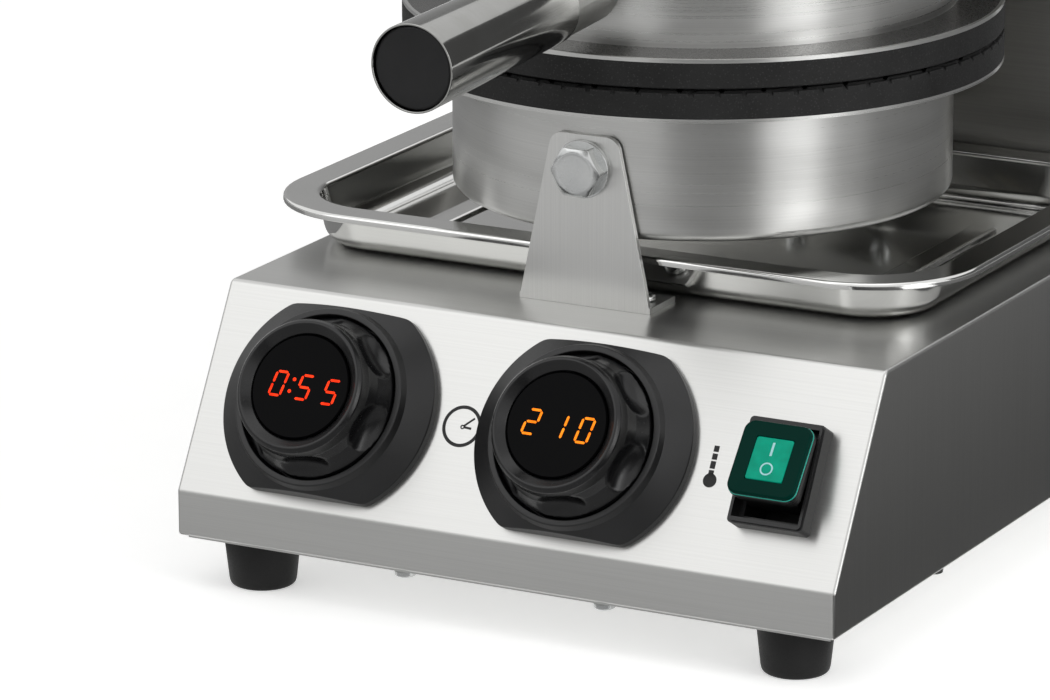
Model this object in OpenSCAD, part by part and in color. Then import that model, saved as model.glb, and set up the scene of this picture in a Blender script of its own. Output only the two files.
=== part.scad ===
// Waffle cone maker: round cast baking plates between two drums, lid on a rear
// hinge, wedge-fronted base with two dial-ring controls, a rocker and a drip tray.
// Millimetres, +Z up, front towards -Y. Machine values are measured from the front
// lip plane (Y = 0), the machine's own middle (X = 0) and the table (Z = 0);
// to_frame() moves everything to the middle of the whole outline.

/* [Base] */
// width of the base housing
base_w = 250; // [220:1:300]
// depth of the base housing
base_d = 340; // [325:1:400]
// height of the upright lip under the control panel
lip_h = 16.1; // [10:0.1:25]
// length of the control panel up the slope
panel_len = 76.3; // [74:0.1:95]
// lean of the control panel from the vertical
panel_lean = 30; // [20:1:40]
// housing sheet thickness
sheet_t = 1.5; // [1:0.1:2]
// outside radius of the housing bends
bend_r = 2.5; // [1.6:0.1:4]
// width of the inward flange round the open underside
flange_w = 12; // [10:0.5:20]
// floor plate thickness
floor_t = 1.2; // [0.8:0.1:2]
// floor plate inset from the housing edge
floor_inset = 2.7; // [1:0.1:5]

/* [Feet] */
// foot height below the floor plate
foot_h = 17.8; // [12:0.1:25]
// foot diameter at the top
foot_top_d = 26.8; // [20:0.1:32]
// foot diameter at the table
foot_low_d = 22.4; // [18:0.1:30]
// foot edge rounding
foot_edge_r = 2; // [0.5:0.1:3]
// foot centre from the side of the housing
foot_in_x = 22.9; // [18:0.1:40]
// foot centre from the front and the rear of the housing
foot_in_y = 18.7; // [16:0.1:40]

/* [Baking plates] */
// diameter of both baking plates
plate_d = 210; // [190:1:230]
// thickness of each baking plate
plate_t = 9.4; // [8:0.1:14]
// gap between the closed plates
plate_gap = 0.4; // [0.3:0.1:3]
// chamfer round the baking edge
plate_chamfer = 2; // [1:0.1:3]
// distance between diamond grooves
groove_pitch = 14; // [9:0.1:20]
// width of a diamond groove
groove_w = 2.2; // [1.5:0.1:3]
// depth of a diamond groove
groove_deep = 1.3; // [0.6:0.1:2]
// angle of both groove families from the Y axis
groove_angle = 30; // [25:1:45]
// plate centre behind the front lip plane
plate_y = 152.7; // [145:0.1:165]

/* [Drums] */
// diameter of the lower drum
low_drum_d = 175.3; // [160:0.1:185]
// height of the lower drum
low_drum_h = 45.9; // [40:0.1:60]
// lower drum above the base top
low_drum_lift = 24.2; // [22:0.1:40]
// diameter of the upper drum
up_drum_d = 178; // [160:0.5:190]
// height of the upper drum
up_drum_h = 45.9; // [40:0.1:60]
// drum sheet thickness
drum_t = 1.2; // [0.8:0.1:2]
// thickness of the flange that carries a baking plate
rim_t = 1.3; // [1:0.1:2]
// inner radius of that flange
rim_in_r = 77; // [76:0.5:78]
// rounding of the closed end of a drum
drum_edge_r = 3; // [1:0.5:6]

/* [Heaters] */
// middle radius of the heater ring
heater_r = 62; // [50:1:70]
// heater tube diameter
heater_tube_d = 8; // [6:0.5:10]
// open angle between the heater ends
heater_open = 34; // [20:1:60]
// clamp disc diameter
clamp_d = 146; // [140:1:150]
// clamp disc thickness
clamp_t = 2; // [1.5:0.1:3]
// insulation thickness
wool_t = 24; // [15:1:30]
// sensor diameter
sensor_d = 6; // [4:0.5:8]
// sensor length
sensor_len = 30; // [20:1:40]

/* [Front bracket] */
// bracket sheet thickness
bracket_t = 2; // [1.5:0.1:3]
// bracket width at the foot
bracket_w = 50; // [40:1:70]
// bracket width at the top
bracket_top_w = 25; // [22:1:40]
// bracket height above the base top
bracket_h = 60; // [55:0.5:66]
// bracket corner rounding
bracket_r = 5; // [2:0.5:10]
// bolt height above the base top
bolt_up = 48.3; // [40:0.1:55]
// depth of the bracket foot
bracket_foot = 19; // [12:0.5:20]
// spacing of the foot screws
bracket_screw_w = 36; // [24:1:40]
// bolt thread diameter
bolt_d = 10; // [8:1:12]
// bolt head across flats
bolt_af = 16.5; // [13:0.5:19]
// bolt head height
bolt_head_h = 6.4; // [5:0.1:8]
// washer diameter
washer_d = 20; // [18:0.5:26]
// washer thickness
washer_t = 2; // [1.5:0.1:3]

/* [Rear column] */
// front face of the column behind the front lip plane
column_y = 268.5; // [268.5:0.5:275]
// column width
column_w = 196; // [180:1:220]
// column depth
column_d = 67; // [60:0.5:70]
// column height above the base top
column_h = 170; // [165:1:190]
// column sheet thickness
column_t = 1.5; // [1:0.1:2]
// column edge rounding
column_r = 3; // [1.6:0.1:6]
// neck diameter between the lower drum and the column
neck_d = 34; // [26:1:40]
// neck wall thickness
neck_t = 2; // [1.5:0.1:4]
// neck axis above the base top
neck_up = 47; // [42:0.5:52]
// neck flange diameter
neck_flange_d = 56; // [54:1:56]

/* [Hinge] */
// hinge axis behind the front lip plane
hinge_y = 256; // [250:0.5:257]
// hinge axis above the closed upper drum
hinge_up = 16; // [14:0.5:24]
// hinge shaft diameter
shaft_d = 12; // [10:0.5:16]
// hinge shaft length
shaft_len = 152; // [140:1:170]
// running clearance round the shaft
shaft_run = 0.05; // [0.03:0.01:0.1]
// bearing block width
block_w = 20; // [16:0.5:26]
// bearing block height
block_h = 30; // [26:0.5:34]
// middle of a bearing block from the machine's middle
block_x = 62; // [56:0.5:75]
// front of a bearing block before the hinge axis
block_front = 12; // [10:0.5:14]
// ear thickness of the lid yoke
ear_t = 8; // [6:0.5:10]
// middle of an ear from the machine's middle
ear_x = 38; // [34:0.5:44]
// ear boss radius
ear_r = 11; // [9:0.5:12]
// yoke plate thickness
yoke_t = 3; // [2:0.5:5]
// yoke plate depth on the drum
yoke_d = 52; // [40:1:60]
// opening angle of the lid
lid_open = 120; // [90:1:120]

/* [Handle] */
// front of the handle before the front lip plane
handle_front = 56; // [40:0.5:80]
// handle axis above the upper plate's flange at the front
handle_up = 16; // [15:0.1:24]
// rise of the handle towards the drum
handle_tilt = 1.69; // [0:0.01:5]
// grip radius at the front
grip_r_front = 14.9; // [13.5:0.1:18]
// grip radius at the rear
grip_r_rear = 13.8; // [13.7:0.1:16]
// grip length
grip_len = 89.8; // [80:0.1:110]
// wall left at the ends of the grip
grip_wall = 0.6; // [0.5:0.1:2]
// stem radius at the drum
stem_r = 12.4; // [11:0.1:13]
// stem wall thickness
stem_t = 2; // [1.5:0.1:4]
// length of the stem inside the grip
stem_in = 30; // [20:1:50]
// set back of the end cap face
cap_set = 0.8; // [0.3:0.1:2]
// rod through the handle
rod_d = 8; // [6:1:10]

/* [Drip tray] */
// tray width over the rim
tray_w = 265; // [255:1:280]
// tray depth over the rim
tray_d = 196; // [180:1:197]
// tray height
tray_h = 17.7; // [14:0.1:20]
// tray shift to the left
tray_shift = 7; // [0:0.5:7]
// front of the tray behind the front lip plane
tray_y = 70.4; // [68:0.1:72]
// flat rim width
tray_rim = 13; // [9:0.5:16]
// drop of the rolled edge
tray_roll = 2.6; // [1.5:0.1:4]
// outer corner radius in plan
tray_corner = 40; // [30:1:60]
// tray sheet thickness
tray_t = 1; // [0.8:0.1:1.5]
// slope of the bowl wall
tray_draft = 2.4; // [1:0.1:5]
// rounding at the bowl floor
tray_floor_r = 8; // [4:0.5:10]
// clearance under the tray
tray_lift = 0.3; // [0.3:0.1:1]
// distance of the floor ribs from the tray's middle
rib_x = 88; // [60:0.5:95]
// floor rib width
rib_w = 9; // [6:0.5:12]
// floor rib length
rib_len = 98; // [60:1:120]
// floor rib height
rib_h = 1.2; // [0.6:0.1:2]

/* [Dial controls] */
// timer dial from the machine's middle
timer_x = -73.9; // [-80:0.1:-70]
// temperature dial from the machine's middle
temp_x = 24; // [15:0.1:35]
// dial centres up the panel
dial_v = 37.3; // [36:0.1:40]
// bezel diameter
bezel_d = 80; // [74:0.5:84]
// bezel height up the panel between the flats
bezel_flat = 66; // [60:0.5:70]
// bezel side height
bezel_side = 3; // [2:0.1:4]
// collar diameter
collar_d = 62.5; // [60:0.1:66]
// collar height
collar_h = 11.4; // [9:0.1:14]
// well diameter
well_d = 58; // [56:0.1:60]
// well floor above the panel
well_floor = 2; // [1.5:0.1:4]
// dial ring diameter in the well
ring_d = 56.4; // [54:0.1:57]
// dial ring front diameter
ring_top_d = 46.4; // [42:0.1:50]
// dial ring height above the panel
ring_h = 26.6; // [22:0.1:30]
// number of finger hollows
hollow_n = 6; // [5:1:8]
// finger hollow section radius
hollow_r = 7.4; // [6:0.1:9]
// finger hollow depth
hollow_deep = 2.5; // [1:0.1:3]
// finger hollow radius along its length
hollow_long_r = 24; // [14:1:40]
// turn of the finger hollows about the dial axis
hollow_turn = -20; // [-30:1:30]
// display hub diameter
hub_d = 36.4; // [34:0.1:38]
// display glass above the panel
glass_h = 24.6; // [22:0.1:26]
// display glass thickness
glass_t = 2; // [1:0.1:3]
// neck through the panel
hub_neck_d = 27; // [20:0.5:30]
// control module size
module_w = 62; // [50:1:64]
// control module depth
module_t = 16; // [12:1:20]

/* [Rocker switch] */
// switch centre from the machine's middle
switch_x = 97.8; // [95:0.1:105]
// switch centre up the panel
switch_v = 35.4; // [30:0.1:42]
// frame width
frame_w = 27.4; // [26:0.1:30]
// frame height up the panel
frame_l = 36.5; // [35:0.1:40]
// frame height above the panel
frame_h = 8; // [6:0.1:10]
// pivot below the panel face
pivot_in = 2; // [1:0.1:4]
// rocker lean at rest
rocker_lean = 9.8; // [8:0.1:10]
// cap width
cap_w = 25.2; // [24:0.1:26]
// cap length
cap_l = 27; // [25:0.1:28]
// cap corner radius
cap_r = 4; // [2:0.5:6]
// cap face above the pivot
cap_top = 17.4; // [16:0.1:20]
// cap underside above the pivot
cap_low = 13; // [12.9:0.1:14]
// cap wall
cap_wall = 1.1; // [0.8:0.1:1.5]
// key width under the cap
key_w = 13; // [10:0.5:15]
// key length under the cap
key_l = 15; // [12:0.5:18]

/* [Rear fittings] */
// gland hex across flats
gland_af = 24; // [20:1:30]
// gland reach behind the housing
gland_out = 19; // [12:0.5:30]
// gland bore for the supply cord
gland_bore_d = 9; // [7:0.5:12]
// gland thread diameter
gland_thread_d = 20; // [16:1:20]
// gland from the machine's middle
gland_x = 82; // [60:1:95]
// gland above the housing floor
gland_up = 26; // [20:0.5:60]

/* [Hidden] */
$fn = 96;
join = 0.3;
part_gap = 0.3;
screw_fit = 0.15;
base_z = foot_h + floor_t;
panel_z = base_z + lip_h;
panel_run = panel_len * sin(panel_lean);
top_z = panel_z + panel_len * cos(panel_lean);
low_z = top_z + low_drum_lift;
low_rim_z = low_z + low_drum_h;
low_plate_z = low_rim_z + rim_t;
seam_z = low_plate_z + plate_t;
up_plate_z = seam_z + plate_gap;
up_rim_z = up_plate_z + plate_t;
up_z = up_rim_z + rim_t;
lid_z = up_z + up_drum_h;
hinge_z = lid_z + hinge_up;
column_top = top_z + column_h;
column_back = column_y + column_d;
neck_z = top_z + neck_up;
bolt_z = top_z + bolt_up;
drum_front = plate_y - low_drum_d / 2;
bracket_y = drum_front - bracket_t;
handle_z = up_z + handle_up;
stem_len = (plate_y - up_drum_d / 2 + handle_front) / cos(handle_tilt) - grip_len;
foot_x = base_w / 2 - foot_in_x;
foot_ys = [foot_in_y, base_d - foot_in_y];
floor_w = base_w - 2 * floor_inset;
floor_d = base_d - 2 * floor_inset;
tray_x0 = -tray_shift - tray_w / 2;
x_low = min(-base_w / 2, tray_x0);
x_high = max(base_w / 2, tray_x0 + tray_w);
y_low = -handle_front - grip_r_front * sin(handle_tilt);
y_high = base_d + gland_out;
frame_x = (x_low + x_high) / 2;
frame_y = (y_low + y_high) / 2;
m4 = 4;
m4_head_d = 7.6;
m4_head_h = 2.4;
m5 = 5;
m5_head_d = 9;
m5_head_h = 2.8;
floor_edge = 5;
floor_screw_x = [-38, 38];
side_screw_y = [90, 250];
bracket_screw_y = drum_front + 8;
tray_z = top_z + tray_lift;
dials = [timer_x, temp_x];
hub_ring_gap = 0.35;
nut_t = 4;
cavity_w = 21.2;
cavity_l = 29;
body_w = 24.4;
body_l = 32.4;
body_deep = 20;
well_wall = 1.2;
switch_pin_d = 3;
skirt_w = 23.8;
skirt_l = 25.4;
key_low = 4;
board_w = 130;
board_l = 84;
board_t = 1.6;
board_x = -42;
board_y = 205;
post_h = 10;
terminal_x = 70;
terminal_y = 285;
relay_x = 66;
relay_y = 190;
column_bolts = [[-70, 18], [70, 18], [-70, 50], [70, 50]];
cover_t = 1.2;
cover_bolts = [[-84, 12], [84, 12], [-84, column_h - 12], [84, column_h - 12]];
clamp_bolt_r = 30;
rim_bolt_r = rim_in_r + 4.5;
yoke_bolts = [[-26, 12], [26, 12], [-26, 34], [26, 34]];
neck_bolt_r = 24;
bond_x = 40;

// moves machine values to the middle of the whole outline
module to_frame() {
    translate([-frame_x, -frame_y, 0]) children();
}

// draws a Y-Z outline along X
module along_x(x0, len) {
    translate([x0, 0, 0]) rotate([90, 0, 90]) linear_extrude(len) children();
}

// draws an X-Z outline along +Y from y0
module along_y(y0, len) {
    translate([0, y0 + len, 0]) rotate([90, 0, 0]) linear_extrude(len) children();
}

// panel place: local X is X, local Y runs up the slope, local Z points out
module on_panel(x, v) {
    translate([x, 0, panel_z]) rotate([90 - panel_lean, 0, 0]) translate([0, v, 0]) children();
}

// box centred in X and Y, standing on z0
module block(w, d, h, z0 = 0) {
    translate([-w / 2, -d / 2, z0]) cube([w, d, h]);
}

// box with rounded upright edges, centred, standing on z0
module round_block(w, d, h, r, z0 = 0) {
    translate([0, 0, z0]) linear_extrude(h) {
        square([w - 2 * r, d], center = true);
        square([w, d - 2 * r], center = true);
        for (sx = [-1, 1], sy = [-1, 1]) {
            translate([sx * (w / 2 - r), sy * (d / 2 - r)]) circle(r, $fn = 48);
        }
    }
}

// rounded slot outline, long way in Y
module slot(w, len) {
    square([w, len - w], center = true);
    for (s = [-1, 1]) {
        translate([0, s * (len - w) / 2]) circle(w / 2, $fn = 24);
    }
}

// screw with its head above z = 0 and its shank below
module screw(d, head_d, head_h, len) {
    cylinder(h = head_h * 0.6, d = head_d, $fn = 32);
    translate([0, 0, head_h * 0.6]) cylinder(h = head_h * 0.4, d1 = head_d, d2 = head_d * 0.72, $fn = 32);
    translate([0, 0, -len]) cylinder(h = len, d = d, $fn = 24);
}

// arc points that round the corner b between a and c
function unit(v) = v / norm(v);
function round_corner(a, b, c, r, n = 6) =
    let (u = unit(a - b), w = unit(c - b), half = acos(u * w) / 2)
    let (m = b + unit(u + w) * (r / sin(half)), p = b + u * (r / tan(half)) - m)
    let (q = b + w * (r / tan(half)) - m, a0 = atan2(p[1], p[0]))
    let (turn = atan2(q[1], q[0]) - a0, sweep = turn > 180 ? turn - 360 : turn < -180 ? turn + 360 : turn)
    [for (i = [0 : n]) m + r * [cos(a0 + sweep * i / n), sin(a0 + sweep * i / n)]];

// housing section in Y-Z, set in by s
function housing_corners(s) = [
    [s, base_z + s],
    [s, panel_z - s * tan(panel_lean / 2)],
    [panel_run + s * tan((90 - panel_lean) / 2), top_z - s],
    [base_d - s, top_z - s],
    [base_d - s, base_z + s]
];
function housing_outline(s, r) =
    let (c = housing_corners(s))
    concat([c[0]], round_corner(c[0], c[1], c[2], r), round_corner(c[1], c[2], c[3], r),
        round_corner(c[2], c[3], c[4], r), [c[4]]);

// ---------------------------------------------------------------- base

// folded stainless housing, open underneath, with its panel and top openings
module base_housing() {
    color([0.74, 0.74, 0.72]) to_frame() difference() {
        along_x(-base_w / 2, base_w) polygon(housing_outline(0, bend_r));
        along_x(-base_w / 2 + sheet_t, base_w - 2 * sheet_t)
            polygon(housing_outline(sheet_t, bend_r - sheet_t));
        translate([0, base_d / 2, base_z - 1])
            block(base_w - 2 * flange_w, base_d - 2 * flange_w, sheet_t + 2);
        for (x = dials) {
            on_panel(x, dial_v) translate([0, 0, -5]) cylinder(h = 10, d = hub_neck_d + 0.6);
        }
        on_panel(switch_x, switch_v) block(body_w + 0.4, body_l + 0.4, 10, -5);
        for (s = [-1, 1]) {
            translate([s * bracket_screw_w / 2, bracket_screw_y, top_z - 4])
                cylinder(h = 8, d = m5 + 2 * screw_fit, $fn = 24);
        }
        translate([0, column_y + column_d / 2, top_z - 4]) block(110, 30, 8);
        for (p = column_bolts) {
            translate([p[0], column_y + p[1], top_z - 4])
                cylinder(h = 8, d = m5 + 2 * screw_fit, $fn = 24);
        }
        floor_screw_places() translate([0, 0, -4]) cylinder(h = 8, d = m4 + 2 * screw_fit, $fn = 24);
        translate([gland_x, base_d - 4, base_z + gland_up]) rotate([-90, 0, 0])
            cylinder(h = 8, d = gland_thread_d + 0.4);
        translate([bond_x, base_d - 4, base_z + gland_up]) rotate([-90, 0, 0])
            cylinder(h = 8, d = m5 + 2 * screw_fit, $fn = 24);
        for (i = [0 : 9]) {
            along_y(base_d - 4, 8) translate([-100 + i * 10, base_z + 32]) slot(3.5, 30);
        }
    }
}

// places of the floor plate screws, at the housing's lower face
module floor_screw_places() {
    for (x = floor_screw_x, y = [floor_edge, base_d - floor_edge]) {
        translate([x, y, base_z]) children();
    }
    for (s = [-1, 1], y = side_screw_y) {
        translate([s * (base_w / 2 - floor_edge - 1), y, base_z]) children();
    }
}

// places of the board posts, at the floor plate's upper face
module post_places() {
    for (sx = [-1, 1], sy = [-1, 1]) {
        translate([board_x + sx * (board_w / 2 - 6), board_y + sy * (board_l / 2 - 6), base_z]) children();
    }
}

// floor plate with vent slots
module floor_plate() {
    color([0.62, 0.62, 0.61]) to_frame() difference() {
        translate([0, base_d / 2, 0]) block(floor_w, floor_d, floor_t, foot_h);
        floor_screw_places() translate([0, 0, -4]) cylinder(h = 8, d = m4 + 2 * screw_fit, $fn = 24);
        foot_places() translate([0, 0, foot_h - 4]) cylinder(h = 8, d = m5 + 2 * screw_fit, $fn = 24);
        for (i = [0 : 13]) {
            translate([-78 + i * 12, 80, foot_h - 1]) linear_extrude(floor_t + 2) slot(4, 60);
        }
    }
}

// places of the four feet on the table plane
module foot_places() {
    for (s = [-1, 1], y = foot_ys) {
        translate([s * foot_x, y, 0]) children();
    }
}

// four tapered rubber feet with a pocket for the screw head
module rubber_feet() {
    color([0.08, 0.08, 0.08]) to_frame() foot_places() rotate_extrude() difference() {
        union() {
            polygon([[m5 / 2 + screw_fit, foot_edge_r], [foot_low_d / 2, foot_edge_r],
                [foot_top_d / 2, foot_h], [m5 / 2 + screw_fit, foot_h]]);
            translate([m5 / 2 + screw_fit, 0])
                square([foot_low_d / 2 - foot_edge_r - m5 / 2 - screw_fit, foot_edge_r + 0.01]);
            translate([foot_low_d / 2 - foot_edge_r, foot_edge_r]) circle(foot_edge_r, $fn = 32);
        }
        translate([0, -1]) square([6, 9]);
    }
}

// screws that hold the feet
module foot_screws() {
    color([0.6, 0.6, 0.6]) to_frame() foot_places() translate([0, 0, 8])
        mirror([0, 0, 1]) screw(m5, m5_head_d, m5_head_h, foot_h - 8 + floor_t + 6);
}

// screws that hold the floor plate to the housing flange
module floor_screws() {
    color([0.6, 0.6, 0.6]) to_frame() floor_screw_places() translate([0, 0, -floor_t])
        mirror([0, 0, 1]) screw(m4, m4_head_d, m4_head_h, floor_t + sheet_t + 5);
}

// ---------------------------------------------------------------- front bracket
// tapered upright of the bracket in X-Z
module bracket_outline() {
    a = [-bracket_w / 2, top_z];
    b = [-bracket_top_w / 2, top_z + bracket_h];
    c = [bracket_top_w / 2, top_z + bracket_h];
    d = [bracket_w / 2, top_z];
    polygon(concat([a], round_corner(a, b, c, bracket_r), round_corner(b, c, d, bracket_r), [d]));
}

module front_bracket() {
    color([0.66, 0.66, 0.64]) to_frame() difference() {
        union() {
            along_y(bracket_y, bracket_t) bracket_outline();
            translate([0, bracket_y + bracket_foot / 2, 0])
                block(bracket_w, bracket_foot, bracket_t, top_z);
        }
        along_y(bracket_y - 1, bracket_t + 2) translate([0, bolt_z]) circle(bolt_d / 2 + screw_fit);
        for (s = [-1, 1]) {
            translate([s * bracket_screw_w / 2, bracket_screw_y, top_z - 1])
                cylinder(h = 8, d = m5 + 2 * screw_fit, $fn = 24);
        }
    }
}

// hexagon bolt that carries the lower drum at the front
module bracket_bolt() {
    head_y = bracket_y - washer_t - bolt_head_h;
    color([0.75, 0.76, 0.78]) to_frame() translate([0, head_y, bolt_z]) rotate([-90, 0, 0]) {
        intersection() {
            cylinder(h = bolt_head_h, d = bolt_af / cos(30), $fn = 6);
            union() {
                cylinder(h = 1.2, d1 = bolt_af * 0.94, d2 = bolt_af / cos(30));
                translate([0, 0, 1.2]) cylinder(h = bolt_head_h, d = bolt_af / cos(30));
            }
        }
        translate([0, 0, bolt_head_h])
            cylinder(h = washer_t + bracket_t + drum_t + 14, d = bolt_d);
    }
}

module bracket_washer() {
    color([0.75, 0.76, 0.78]) to_frame() along_y(bracket_y - washer_t, washer_t)
        translate([0, bolt_z]) difference() {
            circle(washer_d / 2);
            circle(bolt_d / 2 + screw_fit);
        }
}

// nut inside the lower drum
module bracket_nut() {
    color([0.6, 0.6, 0.62]) to_frame() along_y(drum_front + drum_t + 0.6, 8)
        translate([0, bolt_z]) difference() {
            circle(bolt_af / 2 / cos(30), $fn = 6);
            circle(bolt_d / 2 + 0.02);
        }
}

module bracket_screws() {
    color([0.7, 0.7, 0.7]) to_frame() for (s = [-1, 1]) {
        translate([s * bracket_screw_w / 2, bracket_screw_y, top_z + bracket_t])
            screw(m5, m5_head_d, m5_head_h, bracket_t + sheet_t + 6);
    }
}

// ---------------------------------------------------------------- rear column
module rear_column() {
    mid_y = column_y + column_d / 2;
    color([0.3, 0.3, 0.3]) to_frame() difference() {
        translate([0, mid_y, 0]) round_block(column_w, column_d, column_h, column_r, top_z);
        translate([0, mid_y, 0]) round_block(column_w - 2 * column_t, column_d - 2 * column_t,
            column_h - 2 * column_t, column_r - column_t, top_z + column_t);
        translate([0, mid_y, top_z - 1]) block(110, 30, 4);
        translate([0, column_back, top_z + 24]) block(column_w - 40, 8, column_h - 48);
        for (p = column_bolts) {
            translate([p[0], column_y + p[1], top_z - 1])
                cylinder(h = 8, d = m5 + 2 * screw_fit, $fn = 24);
        }
        for (p = cover_bolts) {
            along_y(column_back - 4, 8) translate([p[0], top_z + p[1]])
                circle(m4 / 2 + screw_fit, $fn = 24);
        }
        along_y(column_y - 1, 4) translate([0, neck_z]) circle(neck_d / 2 - neck_t);
        neck_screw_places() translate([0, 0, -4]) cylinder(h = 12, d = m4 + 2 * screw_fit, $fn = 24);
        block_screw_places() translate([0, 0, -60]) cylinder(h = 60, d = m4 + 2 * screw_fit, $fn = 24);
    }
}

// back cover of the column with its vent slots
module column_cover() {
    color([0.5, 0.5, 0.5]) to_frame() difference() {
        translate([0, column_back, 0]) translate([-(column_w - 12) / 2, 0, top_z + 5])
            cube([column_w - 12, cover_t, column_h - 10]);
        for (p = cover_bolts) {
            along_y(column_back - 1, 4) translate([p[0], top_z + p[1]])
                circle(m4 / 2 + screw_fit, $fn = 24);
        }
        for (i = [0 : 9], z = [58, 112]) {
            along_y(column_back - 1, 4) translate([-54 + i * 12, top_z + z]) slot(4, 36);
        }
    }
}

// screws from inside the column into the base top
module column_screws() {
    color([0.6, 0.6, 0.6]) to_frame() for (p = column_bolts) {
        translate([p[0], column_y + p[1], top_z + column_t])
            screw(m5, m5_head_d, m5_head_h, column_t + sheet_t + 5);
    }
}

module cover_screws() {
    color([0.6, 0.6, 0.6]) to_frame() for (p = cover_bolts) {
        translate([p[0], column_back + cover_t, top_z + p[1]]) rotate([-90, 0, 0])
            screw(m4, m4_head_d, m4_head_h, cover_t + column_t + 5);
    }
}

// places of the neck flange screws, looking out towards the front
module neck_screw_places() {
    for (a = [45, 135, 225, 315]) {
        translate([neck_bolt_r * cos(a), column_y, neck_z + neck_bolt_r * sin(a)])
            rotate([90, 0, 0]) children();
    }
}

// flanged tube that carries the lower drum on the column and leads its wires
module drum_neck() {
    reach = column_y - plate_y;
    color([0.55, 0.55, 0.54]) to_frame() difference() {
        union() {
            along_y(plate_y + low_drum_d / 2 - 8, column_y - plate_y - low_drum_d / 2 + 8)
                translate([0, neck_z]) circle(neck_d / 2);
            along_y(column_y - 3, 3) translate([0, neck_z]) circle(neck_flange_d / 2);
        }
        along_y(plate_y, reach + 1) translate([0, neck_z]) circle(neck_d / 2 - neck_t);
        translate([0, plate_y, low_z - 10]) cylinder(h = low_drum_h + 20, d = low_drum_d, $fn = 180);
        neck_screw_places() translate([0, 0, -1]) cylinder(h = 8, d = m4 + 2 * screw_fit, $fn = 24);
    }
}

module neck_screws() {
    color([0.6, 0.6, 0.6]) to_frame() neck_screw_places() translate([0, 0, 3])
        screw(m4, m4_head_d, m4_head_h, 3 + column_t + 4);
}

// ---------------------------------------------------------------- drums and plates
// drum as a section turned about its axis: closed end at z = 0, flange at z = h
module drum_section(d, h) {
    r = d / 2;
    difference() {
        union() {
            translate([0, drum_edge_r]) square([r, h - drum_edge_r + rim_t]);
            square([r - drum_edge_r, drum_edge_r + 0.01]);
            translate([r - drum_edge_r, drum_edge_r]) circle(drum_edge_r, $fn = 32);
            translate([0, h]) square([plate_d / 2, rim_t]);
        }
        translate([0, drum_edge_r]) square([r - drum_t, h - drum_edge_r]);
        translate([0, h - 1]) square([rim_in_r, rim_t + 2]);
        translate([0, drum_t]) square([r - drum_edge_r, h - drum_t - 1]);
        translate([r - drum_edge_r, drum_edge_r]) circle(drum_edge_r - drum_t, $fn = 32);
        translate([-r, -1]) square([r, h + 9]);
    }
}

module rim_screw_places() {
    for (a = [90, 210, 330]) {
        rotate([0, 0, a]) translate([rim_bolt_r, 0, 0]) children();
    }
}

// fixed drum with the flange that carries the lower plate
module lower_drum() {
    color([0.72, 0.72, 0.7]) to_frame() difference() {
        translate([0, plate_y, low_z]) rotate_extrude($fn = 180) drum_section(low_drum_d, low_drum_h);
        along_y(drum_front - 1, 12) translate([0, bolt_z]) circle(bolt_d / 2 + screw_fit);
        along_y(plate_y + 60, 60) translate([0, neck_z]) circle(neck_d / 2 - neck_t);
        translate([0, plate_y, low_rim_z - 1]) rim_screw_places()
            cylinder(h = rim_t + 2, d = m4 + 2 * screw_fit, $fn = 24);
        translate([0, plate_y, low_z - 1]) for (i = [-3 : 3]) {
            translate([i * 12, 0, 0]) linear_extrude(3) slot(4, 50);
        }
    }
}

// one family of straight diamond grooves below z = 0
module groove_family(angle) {
    count = floor(plate_d / 2 / groove_pitch);
    rotate([0, 0, angle]) for (i = [-count : count]) {
        translate([i * groove_pitch, plate_d / 2 + 5, 0]) rotate([90, 0, 0])
            linear_extrude(plate_d + 10)
                polygon([[-groove_w / 2 - 0.2, 0.24], [groove_w / 2 + 0.2, 0.24], [0, -groove_deep]]);
    }
}

// baking plate, back at z = 0 and baking face at z = plate_t
module baking_plate() {
    difference() {
        union() {
            cylinder(h = plate_t - plate_chamfer, d = plate_d, $fn = 180);
            translate([0, 0, plate_t - plate_chamfer])
                cylinder(h = plate_chamfer, d1 = plate_d, d2 = plate_d - 2 * plate_chamfer, $fn = 180);
        }
        for (s = [-1, 1]) {
            translate([0, 0, plate_t]) groove_family(s * groove_angle);
        }
        translate([0, 0, -1]) rim_screw_places() cylinder(h = 6, d = m4 + 0.1, $fn = 24);
        for (a = [0, 120, 240]) {
            rotate([0, 0, a + 60]) translate([clamp_bolt_r, 0, -1]) cylinder(h = 6, d = m4 + 0.1, $fn = 24);
        }
    }
}

module lower_plate() {
    color([0.19, 0.19, 0.19]) to_frame() translate([0, plate_y, low_plate_z]) baking_plate();
}

// heater ring lying on z = 0 downwards, with two tails
module heater() {
    translate([0, 0, -heater_tube_d / 2]) rotate([0, 0, 90 + heater_open / 2]) {
        rotate_extrude(angle = 360 - heater_open) translate([heater_r, 0])
            circle(heater_tube_d / 2, $fn = 32);
        for (a = [0, 360 - heater_open]) {
            rotate([0, 0, a]) translate([heater_r, 0, -16]) cylinder(h = 16, d = 6, $fn = 32);
        }
    }
}

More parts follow.
